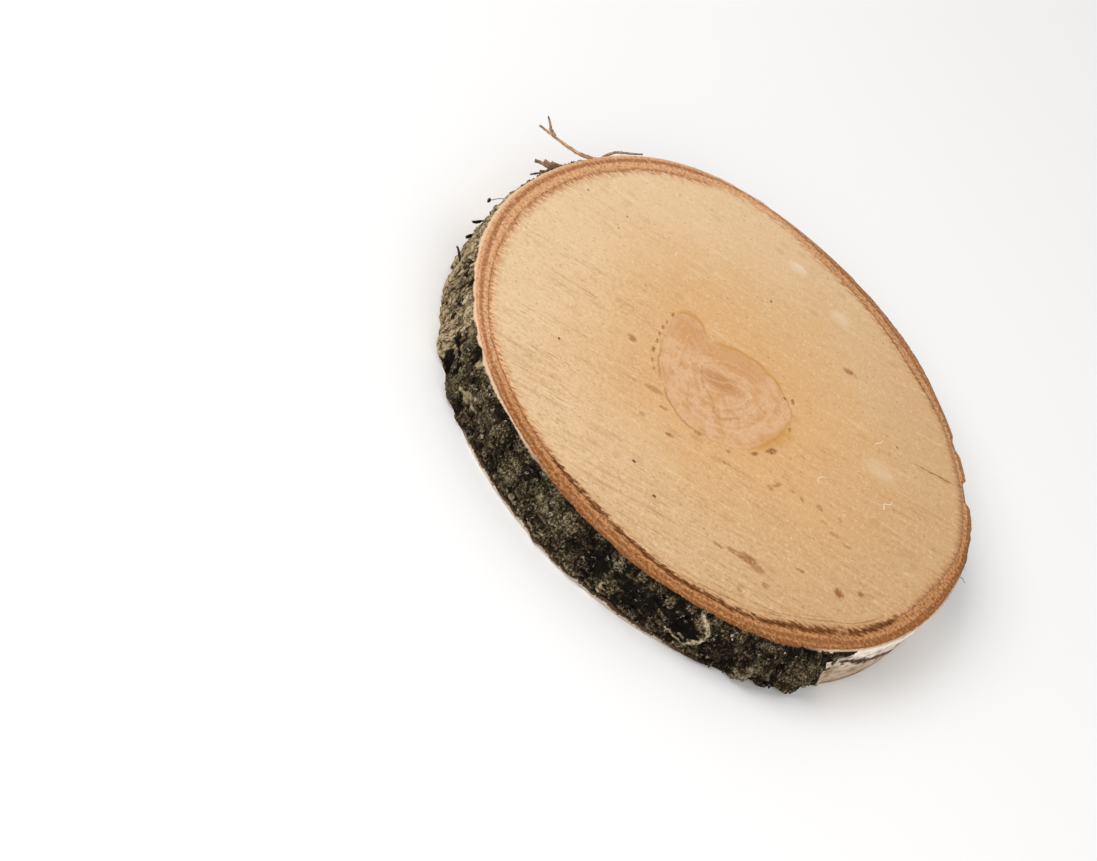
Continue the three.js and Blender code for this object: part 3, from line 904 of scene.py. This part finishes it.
class Shader:
    """Adds nodes to one material and links them."""

    def __init__(self, name, roughness, specular):
        self.material = bpy.data.materials.new(name)
        self.material.use_nodes = True
        self.tree = self.material.node_tree
        self.surface = self.tree.nodes["Principled BSDF"]
        self.surface.inputs["Roughness"].default_value = roughness
        self.surface.inputs["Specular IOR Level"].default_value = specular
        coordinates = self.tree.nodes.new("ShaderNodeTexCoord")
        metres = {0: coordinates.outputs["Object"], "Scale": 1 / MM}
        self.mm = self.add("VectorMath", metres, operation="SCALE")
        along_saw = {"Vector": self.mm, "Rotation": (0, 0, -math.radians(SAW_DEGREE))}
        self.saw = self.add("Mapping", along_saw)

    def add(self, kind, inputs, output=0, **settings):
        node = self.tree.nodes.new("ShaderNode" + kind)
        for key, value in settings.items():
            setattr(node, key, value)
        for key, value in inputs.items():
            self.put(node.inputs[key], value)
        return node.outputs[output]

    def put(self, socket, value):
        if isinstance(value, bpy.types.NodeSocket):
            self.tree.links.new(value, socket)
        else:
            socket.default_value = value

    def math(self, operation, a, b=0.0, c=0.0):
        return self.add("Math", {0: a, 1: b, 2: c}, operation=operation)

    def times(self, a, b):
        return self.math("MULTIPLY", a, b)

    def scale_add(self, value, factor, plus):
        return self.math("MULTIPLY_ADD", value, factor, plus)

    def step(self, value, low, high, most=1.0):
        ends = {"Value": value, "From Min": low, "From Max": high, "To Max": most}
        return self.add("MapRange", ends, interpolation_type="SMOOTHSTEP")

    def scaled(self, vector, x, y, z):
        return self.add("VectorMath", {0: vector, 1: (x, y, z)}, operation="MULTIPLY")

    def noise(self, vector, x, y, z, detail=2.0, roughness=0.5, output=0):
        """Noise with so many waves to the millimetre along each axis."""
        scaled = self.scaled(vector, x, y, z)
        inputs = {"Vector": scaled, "Scale": 1.0, "Detail": detail, "Roughness": roughness}
        return self.add("TexNoise", inputs, output)

    def dots(self, vector, x, y, near, far, rare):
        """Scattered dots: 1 on the few cells past a share, 0 between them."""
        node = self.tree.nodes.new("ShaderNodeTexVoronoi")
        node.inputs["Scale"].default_value = 1.0
        self.put(node.inputs["Vector"], self.scaled(vector, x, y, 0))
        own = self.add("SeparateColor", {"Color": node.outputs["Color"]})
        return self.times(self.step(node.outputs["Distance"], far, near), self.step(own, rare, rare + 0.06))

    def attribute(self, name):
        return self.add("Attribute", {}, "Fac", attribute_name=name)

    def mix(self, factor, a, b):
        return self.add("Mix", {0: factor, 6: a, 7: b}, 2, data_type="RGBA")

    def ramp(self, factor, stops):
        node = self.tree.nodes.new("ShaderNodeValToRGB")
        elements = node.color_ramp.elements
        for _ in stops[2:]:
            elements.new(0.5)
        for element, (position, colour) in zip(elements, stops):
            element.position = position
            element.color = colour
        self.put(node.inputs["Fac"], factor)
        return node.outputs["Color"]

    def finish(self, colour, height, distance, strength):
        self.put(self.surface.inputs["Base Color"], colour)
        bump = {"Strength": strength, "Distance": distance * MM, "Height": height}
        self.put(self.surface.inputs["Normal"], self.add("Bump", bump))
        return self.material


# Ends of the sweep across the sawn face: partly the wood's own pale and tan, partly painted light and painted
# shade
PALE_LIT_WOOD = srgb(228, 195, 153)
TAN_SHADED_WOOD = srgb(203, 162, 115)
HONEY_WOOD = srgb(217, 169, 113)
SAW_BROWN = srgb(166, 118, 70)
SAW_PALE = srgb(246, 224, 190)
PORE_BROWN = srgb(150, 102, 58)
FLECK_BROWN = srgb(132, 84, 44)
SPOT_BROWN = srgb(150, 94, 50)
SPOT_DARK = srgb(66, 44, 28)
HEART_PINK = srgb(220, 176, 136)
HEART_TAN = srgb(202, 147, 95)
HEART_CORE = srgb(184, 128, 82)
HEART_LINE = srgb(158, 102, 60)
HEART_PALE = srgb(234, 198, 160)
OCHRE = srgb(200, 144, 70)
SCUFF_WHITE = srgb(240, 226, 202)
STAIN_LIGHT = srgb(176, 118, 74)
STAIN_DARK = srgb(124, 74, 32)
STAIN_CORE = srgb(84, 48, 18)
RING_LIGHT = srgb(219, 166, 120)
RING_DARK = srgb(184, 128, 82)
RUST_LIGHT = srgb(164, 106, 66)
RUST_DARK = srgb(144, 90, 46)
RING_BROWN = srgb(112, 64, 30)
RING_PALE = srgb(232, 200, 168)

# Spots on the sawn face: place, half width and strength, by the way they lie and their length for their width
BROWN_SPOTS = {
    (0, 1.2): [
        (-40, -21.3, 1.8, 0.7), (80, -41.3, 2.1, 0.95), (86.7, -32.5, 1.4, 0.85), (57.9, -67.8, 1.5, 0.6),
        (-17, -48.8, 1.3, 0.4), (52, -79.5, 1.1, 0.5), (15, -28.3, 1.0, 0.6), (35.8, -26, 1.4, 0.45),
        (42.5, -18, 1.0, 0.5), (47.2, -17.5, 1.0, 0.55), (54.2, -13.3, 1.4, 0.55), (63, -10, 1.1, 0.35),
    ],
    (26, 2.2): [
        (27.5, 62.2, 1.5, 0.75), (63.8, -47.8, 1.0, 0.7), (46.7, -64.6, 2.4, 0.8), (51.5, -64.2, 1.9, 0.6),
        (41, -67, 1.4, 0.6), (35.8, -70.5, 1.1, 0.6), (-4.7, -46.3, 0.9, 0.8), (2.5, -33.7, 0.8, 0.85),
        (17.5, -34.2, 0.9, 0.5), (59, -17.5, 0.9, 0.4), (65, -18.7, 1.2, 0.45), (71.7, -18, 0.9, 0.45),
        (-20.5, -33.5, 1.8, 0.5), (-13.1, -37.5, 1.0, 0.5), (51.5, -77.2, 0.8, 0.5),
    ],
    (65, 2.4): [(36.7, -21.7, 1.1, 0.6), (26.6, -10, 1.4, 0.95), (22.8, -18, 0.9, 0.9)],
    (-70, 1.8): [
        (19.7, 21.5, 0.9, 0.8), (26.2, 7.5, 0.8, 0.6), (-36.2, 6.7, 0.75, 0.7), (-35.8, 0.8, 0.6, 0.55),
        (-35.3, -3, 0.7, 0.7), (-34.2, -7.5, 0.7, 0.7), (-33, -11.7, 0.75, 0.8), (-31.7, -16.7, 0.9, 0.8),
        (-29.2, -21.7, 0.7, 0.6), (-26.3, -24.7, 0.7, 0.55),
    ],
    (28, 27): [(46.5, -89.5, 0.5, 0.6), (47.4, -85.5, 0.3, 0.5), (63.8, -76, 0.3, 0.5), (79.5, 54, 0.4, 0.9)],
}
DARK_SPOTS = {
    (0, 1.2): [
        (-57.8, -52, 0.7, 1.0), (-6.7, -71, 0.75, 0.95), (7.2, -76.7, 0.7, 0.95), (-14, 58.7, 0.6, 0.7),
        (61.7, 49.2, 0.55, 0.7), (-94.2, 24.5, 0.45, 0.8), (-76.3, 30.5, 0.5, 0.8), (-75.3, 21.3, 0.45, 0.8),
        (16.5, 19.5, 0.5, 0.7),
    ],
}
SCUFFS = {(20, 1.6): [(-16.7, 88, 3.2, 0.5), (10, 84, 3.4, 0.4), (62, 30, 5, 0.25)]}


def spot_mask(s, vector, spots):
    """1 on the spots, 0 off them."""
    mask = 0.0
    for (turn, stretch), group in spots.items():
        way = math.radians(turn)
        lying = {"Vector": vector, "Rotation": (0, 0, way), "Scale": (stretch, 1, 1e6)}
        turned = s.add("Mapping", lying, vector_type="TEXTURE")
        for x, y, half_width, strength in group:
            along = (x * math.cos(way) + y * math.sin(way)) / stretch
            across = y * math.cos(way) - x * math.sin(way)
            off = s.add("VectorMath", {0: turned, 1: (along, across, 0)}, 1, operation="DISTANCE")
            mask = s.math("MAXIMUM", s.step(off, 1.25 * half_width, 0.55 * half_width, strength), mask)
    return mask


def ragged_places(s, waves, reach):
    """Places on the face pushed about, so that spots get ragged outlines."""
    noise = s.noise(s.mm, waves, waves, 0, 2, 0.6, 1)
    push = s.add("VectorMath", {0: noise, 1: (-0.5, -0.5, -0.5)}, operation="ADD")
    return s.add("VectorMath", {0: push, 1: (reach, reach, 0.0), 2: s.mm}, operation="MULTIPLY_ADD")


def sawn_texture(s):
    """Clear wood and its relief: pale to tan from left to right, partly the wood's own tone and partly
    painted light on the left and painted shade on the right, honey inside, saw marks and pores.
    """
    x_of = s.add("SeparateXYZ", {"Vector": s.mm})
    y_of = s.add("SeparateXYZ", {"Vector": s.mm}, 1)
    cloud = s.noise(s.mm, 0.022, 0.022, 0, 3)
    patches = s.noise(s.saw, 0.016, 0.045, 0, 3, 0.6)
    streak = s.noise(s.saw, 0.03, 0.35, 0, 4, 0.65)
    fine = s.noise(s.saw, 0.13, 1.3, 0, 3, 0.65)
    grain = s.noise(s.mm, 0.8, 0.8, 0.8, 3, 0.75)
    # Painted light and shade: pale on the left and tan on the right, partly the wood's own tone and partly
    # light falling off across the face
    colour = s.mix(s.step(s.scale_add(cloud, 60, x_of), -95, 150), PALE_LIT_WOOD, TAN_SHADED_WOOD)
    inside = s.scale_add(cloud, 50, s.attribute("rim"))
    colour = s.mix(s.step(inside, 35, 105, 0.9), colour, HONEY_WOOD)
    strength = s.step(s.scale_add(y_of, -0.0022, patches), 0.38, 0.74)
    long_marks = s.times(s.step(streak, 0.52, 0.68), s.scale_add(strength, 0.3, 0.06))
    colour = s.mix(long_marks, colour, SAW_BROWN)
    colour = s.mix(s.step(streak, 0.47, 0.25, 0.2), colour, SAW_PALE)
    short_marks = s.times(s.step(fine, 0.52, 0.72), s.scale_add(strength, 0.5, 0.08))
    colour = s.mix(short_marks, colour, SAW_BROWN)
    colour = s.mix(s.step(fine, 0.44, 0.2, 0.3), colour, SAW_PALE)
    pores = s.times(s.step(grain, 0.52, 0.68), s.scale_add(strength, 0.22, 0.14))
    colour = s.mix(pores, colour, PORE_BROWN)
    colour = s.mix(s.step(grain, 0.46, 0.3, 0.36), colour, SAW_PALE)
    colour = s.mix(s.times(s.dots(s.saw, 0.4, 0.95, 0.12, 0.36, 0.86), 0.45), colour, FLECK_BROWN)
    colour = s.mix(s.times(s.dots(s.saw, 0.1, 0.17, 0.1, 0.4, 0.78), 0.16), colour, SPOT_BROWN)
    relief = s.scale_add(fine, 0.8, s.scale_add(grain, 0.5, streak))
    return colour, relief


def ring_colour(s, band, darker, grit, broken, stitches):
    """The sawn bark, by a band from 0 to 1 across it: a rusty line, grit, a darker or a paler edge."""
    ring = s.mix(darker, RING_LIGHT, RING_DARK)
    rust = s.mix(darker, RUST_LIGHT, RUST_DARK)
    from_rust = s.math("ABSOLUTE", s.math("SUBTRACT", band, s.attribute("rusty")))
    rust_line = s.step(from_rust, 0.21, 0.06)
    ring = s.mix(s.times(rust_line, s.step(broken, 0.22, 0.42, 0.8)), ring, rust)
    dashes = s.times(s.times(rust_line, stitches), s.scale_add(darker, 0.05, 0.35))
    ring = s.mix(dashes, ring, RING_BROWN)
    ring = s.mix(s.times(s.step(band, 0.6, 0.9), s.times(darker, 0.7)), ring, rust)
    ring = s.mix(s.times(s.step(band, 0.74, 0.94, 0.85), darker), ring, RING_BROWN)
    ring = s.mix(s.step(grit, 0.51, 0.57, 0.6), ring, rust)
    ring = s.mix(s.times(s.step(grit, 0.56, 0.61), s.scale_add(darker, 0.75, 0.1)), ring, RING_BROWN)
    ring = s.mix(s.step(grit, 0.46, 0.38, 0.4), ring, s.mix(darker, RING_PALE, RING_LIGHT))
    return s.mix(s.times(s.step(band, 0.91, 1.0), s.attribute("pale")), ring, RING_PALE)


def last_rings(s, wood, out, drag, stain):
    """The outermost wood: brown arcs of the last growth rings, and a tinge of bark."""
    arcs = s.add("CombineXYZ", {"X": s.times(s.attribute("rim"), 0.8)})
    arcs = s.add("VectorMath", {0: s.mm, 1: (0.03, 0.03, 0), 2: arcs}, operation="MULTIPLY_ADD")
    arcs = s.times(s.step(s.noise(arcs, 1, 1, 1), 0.5, 0.62), s.step(s.attribute("rim"), 9.0, 1.0))
    colour = s.mix(s.times(arcs, s.step(stain, 0.8, 1.5, 0.75)), wood, RUST_DARK)
    colour = s.mix(s.step(out, -2.6, -0.4, 0.55), colour, RING_LIGHT)
    return s.mix(s.times(s.step(out, -4.5, 0.0), s.step(drag, 0.44, 0.58, 0.8)), colour, RING_DARK)


def stain_line(s, colour, fuzzy, stain, broken, stitches):
    """A broken brown stain along the cambium, darkest in its middle."""
    near = s.math("DIVIDE", fuzzy, s.math("ADD", stain, 0.6))
    line = s.times(s.step(near, -1.0, 0.0), s.step(near, 1.3, 0.5))
    weight = s.times(s.step(stain, 0.05, 0.6), s.step(broken, 0.28, 0.46))
    soft = s.times(weight, s.step(stain, -0.2, 0.9))
    colour = s.mix(s.times(line, soft), colour, s.mix(s.step(stain, 0.5, 1.0), STAIN_LIGHT, STAIN_DARK))
    thin = s.times(s.step(near, -0.5, 0.0), s.step(near, 0.8, 0.4))
    return s.mix(s.times(s.times(thin, soft), stitches), colour, STAIN_CORE)


def sawn_rim(s, wood):
    """Wood that turns to bark over the sawn rim, with the fibres dragged along the saw's way."""
    stain, darker, width = s.attribute("stain"), s.attribute("darker"), s.attribute("width")
    drag = s.noise(s.saw, 0.22, 0.9, 0, 3, 0.7)
    grit = s.noise(s.mm, 0.75, 0.75, 0, 3, 0.8)
    broken = s.noise(s.mm, 0.12, 0.12, 0, 2, 0.6)
    stitches = s.step(s.noise(s.saw, 0.3, 1.3, 0, 2, 0.6), 0.46, 0.54)
    pull = s.scale_add(drag, 3.2, s.scale_add(grit, 2.4, -2.3))
    out = s.math("SUBTRACT", pull, s.attribute("rim"))
    band = s.math("DIVIDE", s.scale_add(pull, -0.6, out), width)
    ring = ring_colour(s, band, darker, grit, broken, stitches)
    colour = last_rings(s, wood, out, drag, stain)
    colour = s.mix(s.step(out, -0.8, 0.6), colour, ring)
    fuzzy = s.scale_add(drag, 4.0, s.math("ADD", out, -2.0))
    return stain_line(s, colour, fuzzy, stain, broken, stitches)


def false_heart(s, colour):
    """The brown heart: pink and tan inside, wavering bands, a darker core, a border that comes and goes."""
    wander = s.noise(s.mm, 0.16, 0.16, 0, 4, 0.65)
    jitter = s.noise(s.mm, 0.8, 0.8, 0, 3, 0.7)
    edge = s.scale_add(wander, 4.0, s.math("ADD", s.attribute("heart"), -2.0))
    inner = s.mix(s.step(wander, 0.34, 0.6), HEART_TAN, HEART_PINK)
    inner = s.mix(s.attribute("heart_tan"), inner, HEART_TAN)
    inner = s.mix(s.times(s.attribute("heart_dark"), s.step(wander, 0.3, 0.5)), inner, HEART_CORE)
    depth = s.add("CombineXYZ", {"X": s.scale_add(wander, 5.0, s.attribute("heart"))})
    bands = s.noise(depth, 0.55, 1, 1, 2, 0.6)
    inner = s.mix(s.step(bands, 0.52, 0.66, 0.4), inner, HEART_PALE)
    inner = s.mix(s.times(s.step(bands, 0.46, 0.36, 0.34), s.step(jitter, 0.36, 0.6)), inner, HEART_LINE)
    core = s.math("ABSOLUTE", s.scale_add(jitter, 5.0, s.math("ADD", s.attribute("core"), -2.5)))
    clear = s.math("MAXIMUM", s.attribute("core_line"), s.step(wander, 0.5, 0.62, 0.35))
    inner = s.mix(s.times(s.step(core, 0.8, 0.2), clear), inner, HEART_LINE)
    inner = s.mix(s.step(jitter, 0.54, 0.7, 0.4), inner, HEART_LINE)
    inner = s.mix(s.step(jitter, 0.45, 0.3, 0.35), inner, HEART_PALE)
    colour = s.mix(s.step(edge, -0.8, 1.0, 0.8), colour, inner)
    colour = s.mix(s.times(s.attribute("heart_ochre"), s.step(wander, 0.3, 0.5)), colour, OCHRE)
    border = s.times(s.step(edge, -2.0, -0.2), s.step(edge, 1.8, 0.2))
    ochre = s.math("MAXIMUM", s.attribute("ochre_line"), s.step(wander, 0.5, 0.64, 0.2))
    colour = s.mix(s.times(border, ochre), colour, OCHRE)
    pale_line = s.step(s.math("ABSOLUTE", s.math("ADD", edge, -1.7)), 1.0, 0.2)
    colour = s.mix(s.times(pale_line, s.step(bands, 0.42, 0.6, 0.3)), colour, HEART_PALE)
    outline = s.step(s.math("ABSOLUTE", s.scale_add(jitter, 1.6, s.math("ADD", edge, -0.8))), 0.8, 0.2)
    return s.mix(s.times(outline, s.math("MAXIMUM", s.attribute("brown_line"), 0.15)), colour, HEART_LINE)


def wood_material():
    s = Shader("sawn_birch", 0.75, 0.22)
    colour, relief = sawn_texture(s)
    colour = false_heart(s, colour)
    moved = ragged_places(s, 0.6, 1.8)
    blotch = s.noise(s.mm, 0.7, 0.7, 0, 2, 0.6)
    colour = s.mix(s.times(spot_mask(s, moved, BROWN_SPOTS), s.step(blotch, 0.25, 0.5)), colour, SPOT_BROWN)
    colour = s.mix(s.times(spot_mask(s, moved, DARK_SPOTS), 0.95), colour, SPOT_DARK)
    colour = s.mix(s.times(spot_mask(s, moved, SCUFFS), s.step(relief, 0.9, 1.3)), colour, SCUFF_WHITE)
    return s.finish(sawn_rim(s, colour), relief, 0.2, 0.45)


CRUST_BLACK = srgb(14, 11, 8)
CRUST_DARK = srgb(39, 30, 19)
CRUST_BROWN = srgb(70, 56, 36)
CRUST_GREY = srgb(104, 91, 67)
CRUST_PALE = srgb(154, 142, 120)
CRUST_OLIVE = srgb(70, 66, 40)
GREY_DARK = srgb(46, 35, 22)
GREY_BARK = srgb(132, 112, 82)
GREY_PALE = srgb(182, 162, 128)
PAPERY_BROWN = srgb(92, 70, 52)
HEM_WHITE = srgb(206, 192, 170)
WHITE_BARK = srgb(250, 238, 222)
# A painted shade for the white bark, and a brown for both the bark's specks and painted shade at its foot
WHITE_BARK_PAINTED_SHADE = srgb(194, 170, 146)
BROWN_BARK_AND_SHADE = srgb(120, 90, 64)
LENTICEL = srgb(70, 48, 33)
LIP_PALE = srgb(196, 178, 146)


def crust_foot(s, crust, mottle, height):
    """A papery brown foot below a black line, with a white hem."""
    foot = s.scale_add(mottle, 3.0, height)
    crust = s.mix(s.times(s.step(foot, 5.6, 4.6), s.attribute("papery")), crust, CRUST_BLACK)
    crust = s.mix(s.times(s.step(foot, 4.8, 3.9, 0.85), s.attribute("papery")), crust, PAPERY_BROWN)
    return s.mix(s.times(s.step(foot, 3.1, 2.5), s.attribute("hem")), crust, HEM_WHITE)


def crust_colour(s, speck, height):
    """Dark crust, paler up on its ridges and darker low in its relief, partly its own grey crests and partly
    painted light and shade, with olive patches, black cracks of painted shade and its papery foot.
    """
    mottle = s.noise(s.mm, 1.3, 1.3, 0.8, 3, 0.8)
    patch = s.noise(s.mm, 0.16, 0.16, 0.16, 3, 0.6)
    layers = s.noise(s.mm, 0.16, 0.16, 1.0, 3, 0.65)
    tint = s.attribute("tint")
    tone = s.scale_add(patch, 0.5, s.scale_add(mottle, 2.2, -1.45))
    tone = s.scale_add(layers, 0.7, tone)
    # Painted light and shade: the crust is paler where its relief stands high and darker where it lies low
    tone = s.scale_add(s.attribute("lift"), 0.3, s.scale_add(tint, 0.25, tone))
    crust = s.ramp(tone, [
        (0.2, CRUST_BLACK), (0.4, CRUST_DARK), (0.55, CRUST_BROWN), (0.7, CRUST_GREY), (0.95, CRUST_PALE)])
    olive = s.step(s.noise(s.mm, 0.08, 0.08, 0.1, 2), 0.46, 0.62, 0.5)
    crust = s.mix(olive, crust, s.mix(s.step(tone, 0.25, 0.8), CRUST_BLACK, CRUST_OLIVE))
    fibres = s.noise(s.mm, 0.75, 0.75, 0.2, 3, 0.65)
    grey_tone = s.scale_add(fibres, 2.2, s.scale_add(layers, -0.7, tone))
    crust = s.mix(s.attribute("grey"), crust, s.ramp(s.math("ADD", grey_tone, -0.75), [
        (0.14, GREY_DARK), (0.4, GREY_BARK), (0.74, GREY_PALE)]))
    winding = s.math("ABSOLUTE", s.math("ADD", s.noise(s.mm, 0.42, 0.42, 0.24, 2, 0.7), -0.5))
    threads = s.times(s.step(winding, 0.03, 0.008), s.step(patch, 0.42, 0.62, 0.4))
    crust = s.mix(threads, crust, CRUST_PALE)
    crust = s.mix(s.times(s.step(tint, 0.3, 0.9, 0.85), s.step(speck, 0.36, 0.5)), crust, GREY_PALE)
    # Painted shade: black deep in the cracks of the relief
    crust = s.mix(s.times(s.attribute("hollow"), 0.6), crust, CRUST_BLACK)
    crust = s.mix(s.step(tint, -0.3, -0.9, 0.9), crust, CRUST_BLACK)
    crust = crust_foot(s, crust, mottle, height)
    return s.mix(s.times(s.attribute("lip"), s.step(speck, 0.4, 0.52)), crust, LIP_PALE)


def paper_colour(s, speck, height):
    """Smooth white bark with lenticels round the trunk, darker lower down as painted shade, and browner at
    its foot, partly the bark's own brown and partly painted shade.
    """
    paper = s.noise(s.mm, 0.03, 0.03, 0.8, 4, 0.65)
    patch = s.noise(s.mm, 0.11, 0.11, 0.16, 3, 0.6)
    # Painted shade: the white bark goes darker lower down
    colour = s.mix(s.step(s.scale_add(paper, -24, height), 13.0, -5.0), WHITE_BARK, WHITE_BARK_PAINTED_SHADE)
    colour = s.mix(s.step(patch, 0.5, 0.66, 0.75), colour, GREY_BARK)
    # Brown at the foot: partly the bark's own brown and partly painted shade
    colour = s.mix(s.step(s.scale_add(patch, 8.0, height), 8.5, 3.5, 0.85), colour, BROWN_BARK_AND_SHADE)
    dash = s.noise(s.mm, 0.07, 0.07, 1.1, 2, 0.5)
    colour = s.mix(s.times(s.step(dash, 0.62, 0.67), s.step(patch, 0.42, 0.55, 0.8)), colour, LENTICEL)
    colour = s.mix(s.times(s.attribute("scar"), s.step(speck, 0.3, 0.46)), colour, LENTICEL)
    colour = s.mix(s.step(speck, 0.45, 0.3, 0.4), colour, WHITE_BARK)
    return s.mix(s.step(speck, 0.54, 0.7, 0.4), colour, BROWN_BARK_AND_SHADE)


def bark_material():
    s = Shader("birch_bark", 0.9, 0.05)
    height = s.add("SeparateXYZ", {"Vector": s.mm}, 2)
    speck = s.noise(s.mm, 0.8, 0.8, 0.7, 4, 0.8)
    edge_noise = s.scale_add(speck, 2.4, -1.2)
    ragged = s.math("ADD", s.attribute("crust"), edge_noise)
    outer = s.mix(s.step(ragged, 0.5, 0.9), paper_colour(s, speck, height), crust_colour(s, speck, height))
    from_top = s.math("SUBTRACT", THICKNESS, height)
    pale_edge = s.step(s.scale_add(speck, 1.6, from_top), 1.8, 1.2)
    outer = s.mix(s.times(pale_edge, s.attribute("pale")), outer, RING_PALE)
    wood, relief = sawn_texture(s)
    colour = s.mix(s.step(s.attribute("side"), 0.3, 0.7), sawn_rim(s, wood), outer)
    return s.finish(colour, s.scale_add(speck, 1.4, relief), 0.35, 0.6)


LICHEN_DARK = srgb(70, 61, 46)
LICHEN_GREY = srgb(104, 94, 75)
LICHEN_PALE = srgb(146, 135, 113)
TORN_BROWN = srgb(122, 88, 60)
TORN_TAN = srgb(182, 142, 106)
TORN_PALE = srgb(216, 192, 162)
FIBRE_TAN = srgb(226, 196, 156)
FIBRE_WHITE = srgb(246, 236, 216)


def lichen_material():
    s = Shader("lichen", 0.95, 0.05)
    speck = s.noise(s.mm, 0.9, 0.9, 0.9, 3, 0.7)
    colour = s.ramp(speck, [(0.38, LICHEN_DARK), (0.5, LICHEN_GREY), (0.64, LICHEN_PALE)])
    return s.finish(colour, speck, 0.3, 0.6)


def sliver_material():
    s = Shader("torn_bark", 0.8, 0.2)
    streak = s.noise(s.mm, 0.5, 0.5, 2.4, 3, 0.6)
    tan = s.ramp(streak, [(0.3, TORN_BROWN), (0.5, TORN_TAN), (0.72, TORN_PALE)])
    dark = s.ramp(streak, [(0.3, CRUST_BLACK), (0.55, CRUST_DARK), (0.75, CRUST_GREY)])
    return s.finish(s.mix(s.attribute("dark"), tan, dark), streak, 0.3, 0.5)


def fibre_material():
    s = Shader("wood_fibre", 0.75, 0.2)
    along = s.noise(s.mm, 0.9, 0.9, 0.9, 2)
    pale = s.mix(along, FIBRE_TAN, FIBRE_WHITE)
    return s.finish(s.mix(s.attribute("brown"), pale, RUST_DARK), along, 0.1, 0.4)


# Floor, lights and camera

FLOOR_SIZE = 6.0
FLOOR_SHADE = srgb(247, 246, 245)
FLOOR_WHITE = srgb(250, 249, 248)
WORLD_STRENGTH = 0.55
# Lights: place and size in metres, power
LIGHTS = {
    "key": ((-1.3, -1.0, 1.5), 1.4, 32),
    "fill": ((0.9, -1.6, 1.0), 1.8, 15),
}


def floor_material():
    s = Shader("pale_floor", 0.6, 0.2)
    cloud = s.noise(s.mm, 0.004, 0.004, 0.004, 2)
    return s.finish(s.mix(cloud, FLOOR_SHADE, FLOOR_WHITE), cloud, 0.05, 0.1)


def floor():
    half = FLOOR_SIZE / 2
    mesh = bpy.data.meshes.new("floor")
    corners = [(-half, -half, 0), (half, -half, 0), (half, half, 0), (-half, half, 0)]
    mesh.from_pydata(corners, [], [(0, 1, 2, 3)])
    mesh.materials.append(floor_material())
    ground = bpy.data.objects.new("floor", mesh)
    bpy.context.scene.collection.objects.link(ground)


def area_light(name, location, size, power):
    light = bpy.data.lights.new(name, "AREA")
    light.size = size
    light.energy = power
    lamp = bpy.data.objects.new(name, light)
    lamp.location = location
    lamp.rotation_euler = (-Vector(location)).to_track_quat("-Z", "Y").to_euler()
    bpy.context.scene.collection.objects.link(lamp)


def studio():
    scene = bpy.context.scene
    scene.view_settings.view_transform = "Standard"
    world = bpy.data.worlds.new("studio")
    world.use_nodes = True
    background = world.node_tree.nodes["Background"]
    background.inputs["Color"].default_value = (1, 1, 1, 1)
    background.inputs["Strength"].default_value = WORLD_STRENGTH
    scene.world = world
    for name, (location, size, power) in LIGHTS.items():
        area_light(name, location, size, power)


# The view: from the front and above, turned about the line of sight as the photograph shows the slice
LENS = 85.0
SENSOR = 36.0
CAMERA_MM = Vector((-0.03, -782.76, 594.63 + THICKNESS))
CAMERA_AXES = [
    (0.70340253, 0.48425399, 0.52031044),
    (-0.70973095, 0.4385273, 0.55133999),
    (0.03881826, -0.75709437, 0.65215126),
]


def camera():
    data = bpy.data.cameras.new("camera")
    data.lens = LENS
    data.sensor_width = SENSOR
    viewer = bpy.data.objects.new("camera", data)
    turn = Matrix(CAMERA_AXES).transposed().to_4x4()
    viewer.matrix_world = Matrix.Translation(CAMERA_MM * MM) @ turn
    bpy.context.scene.collection.objects.link(viewer)
    bpy.context.scene.camera = viewer


camera()
studio()
floor()
bark = bark_material()
wood_disc(wood_material())
bark_ring(bark)
bark_flakes(bark)
bark_slivers(sliver_material())
lichen(lichen_material())
wood_fibres(fibre_material())
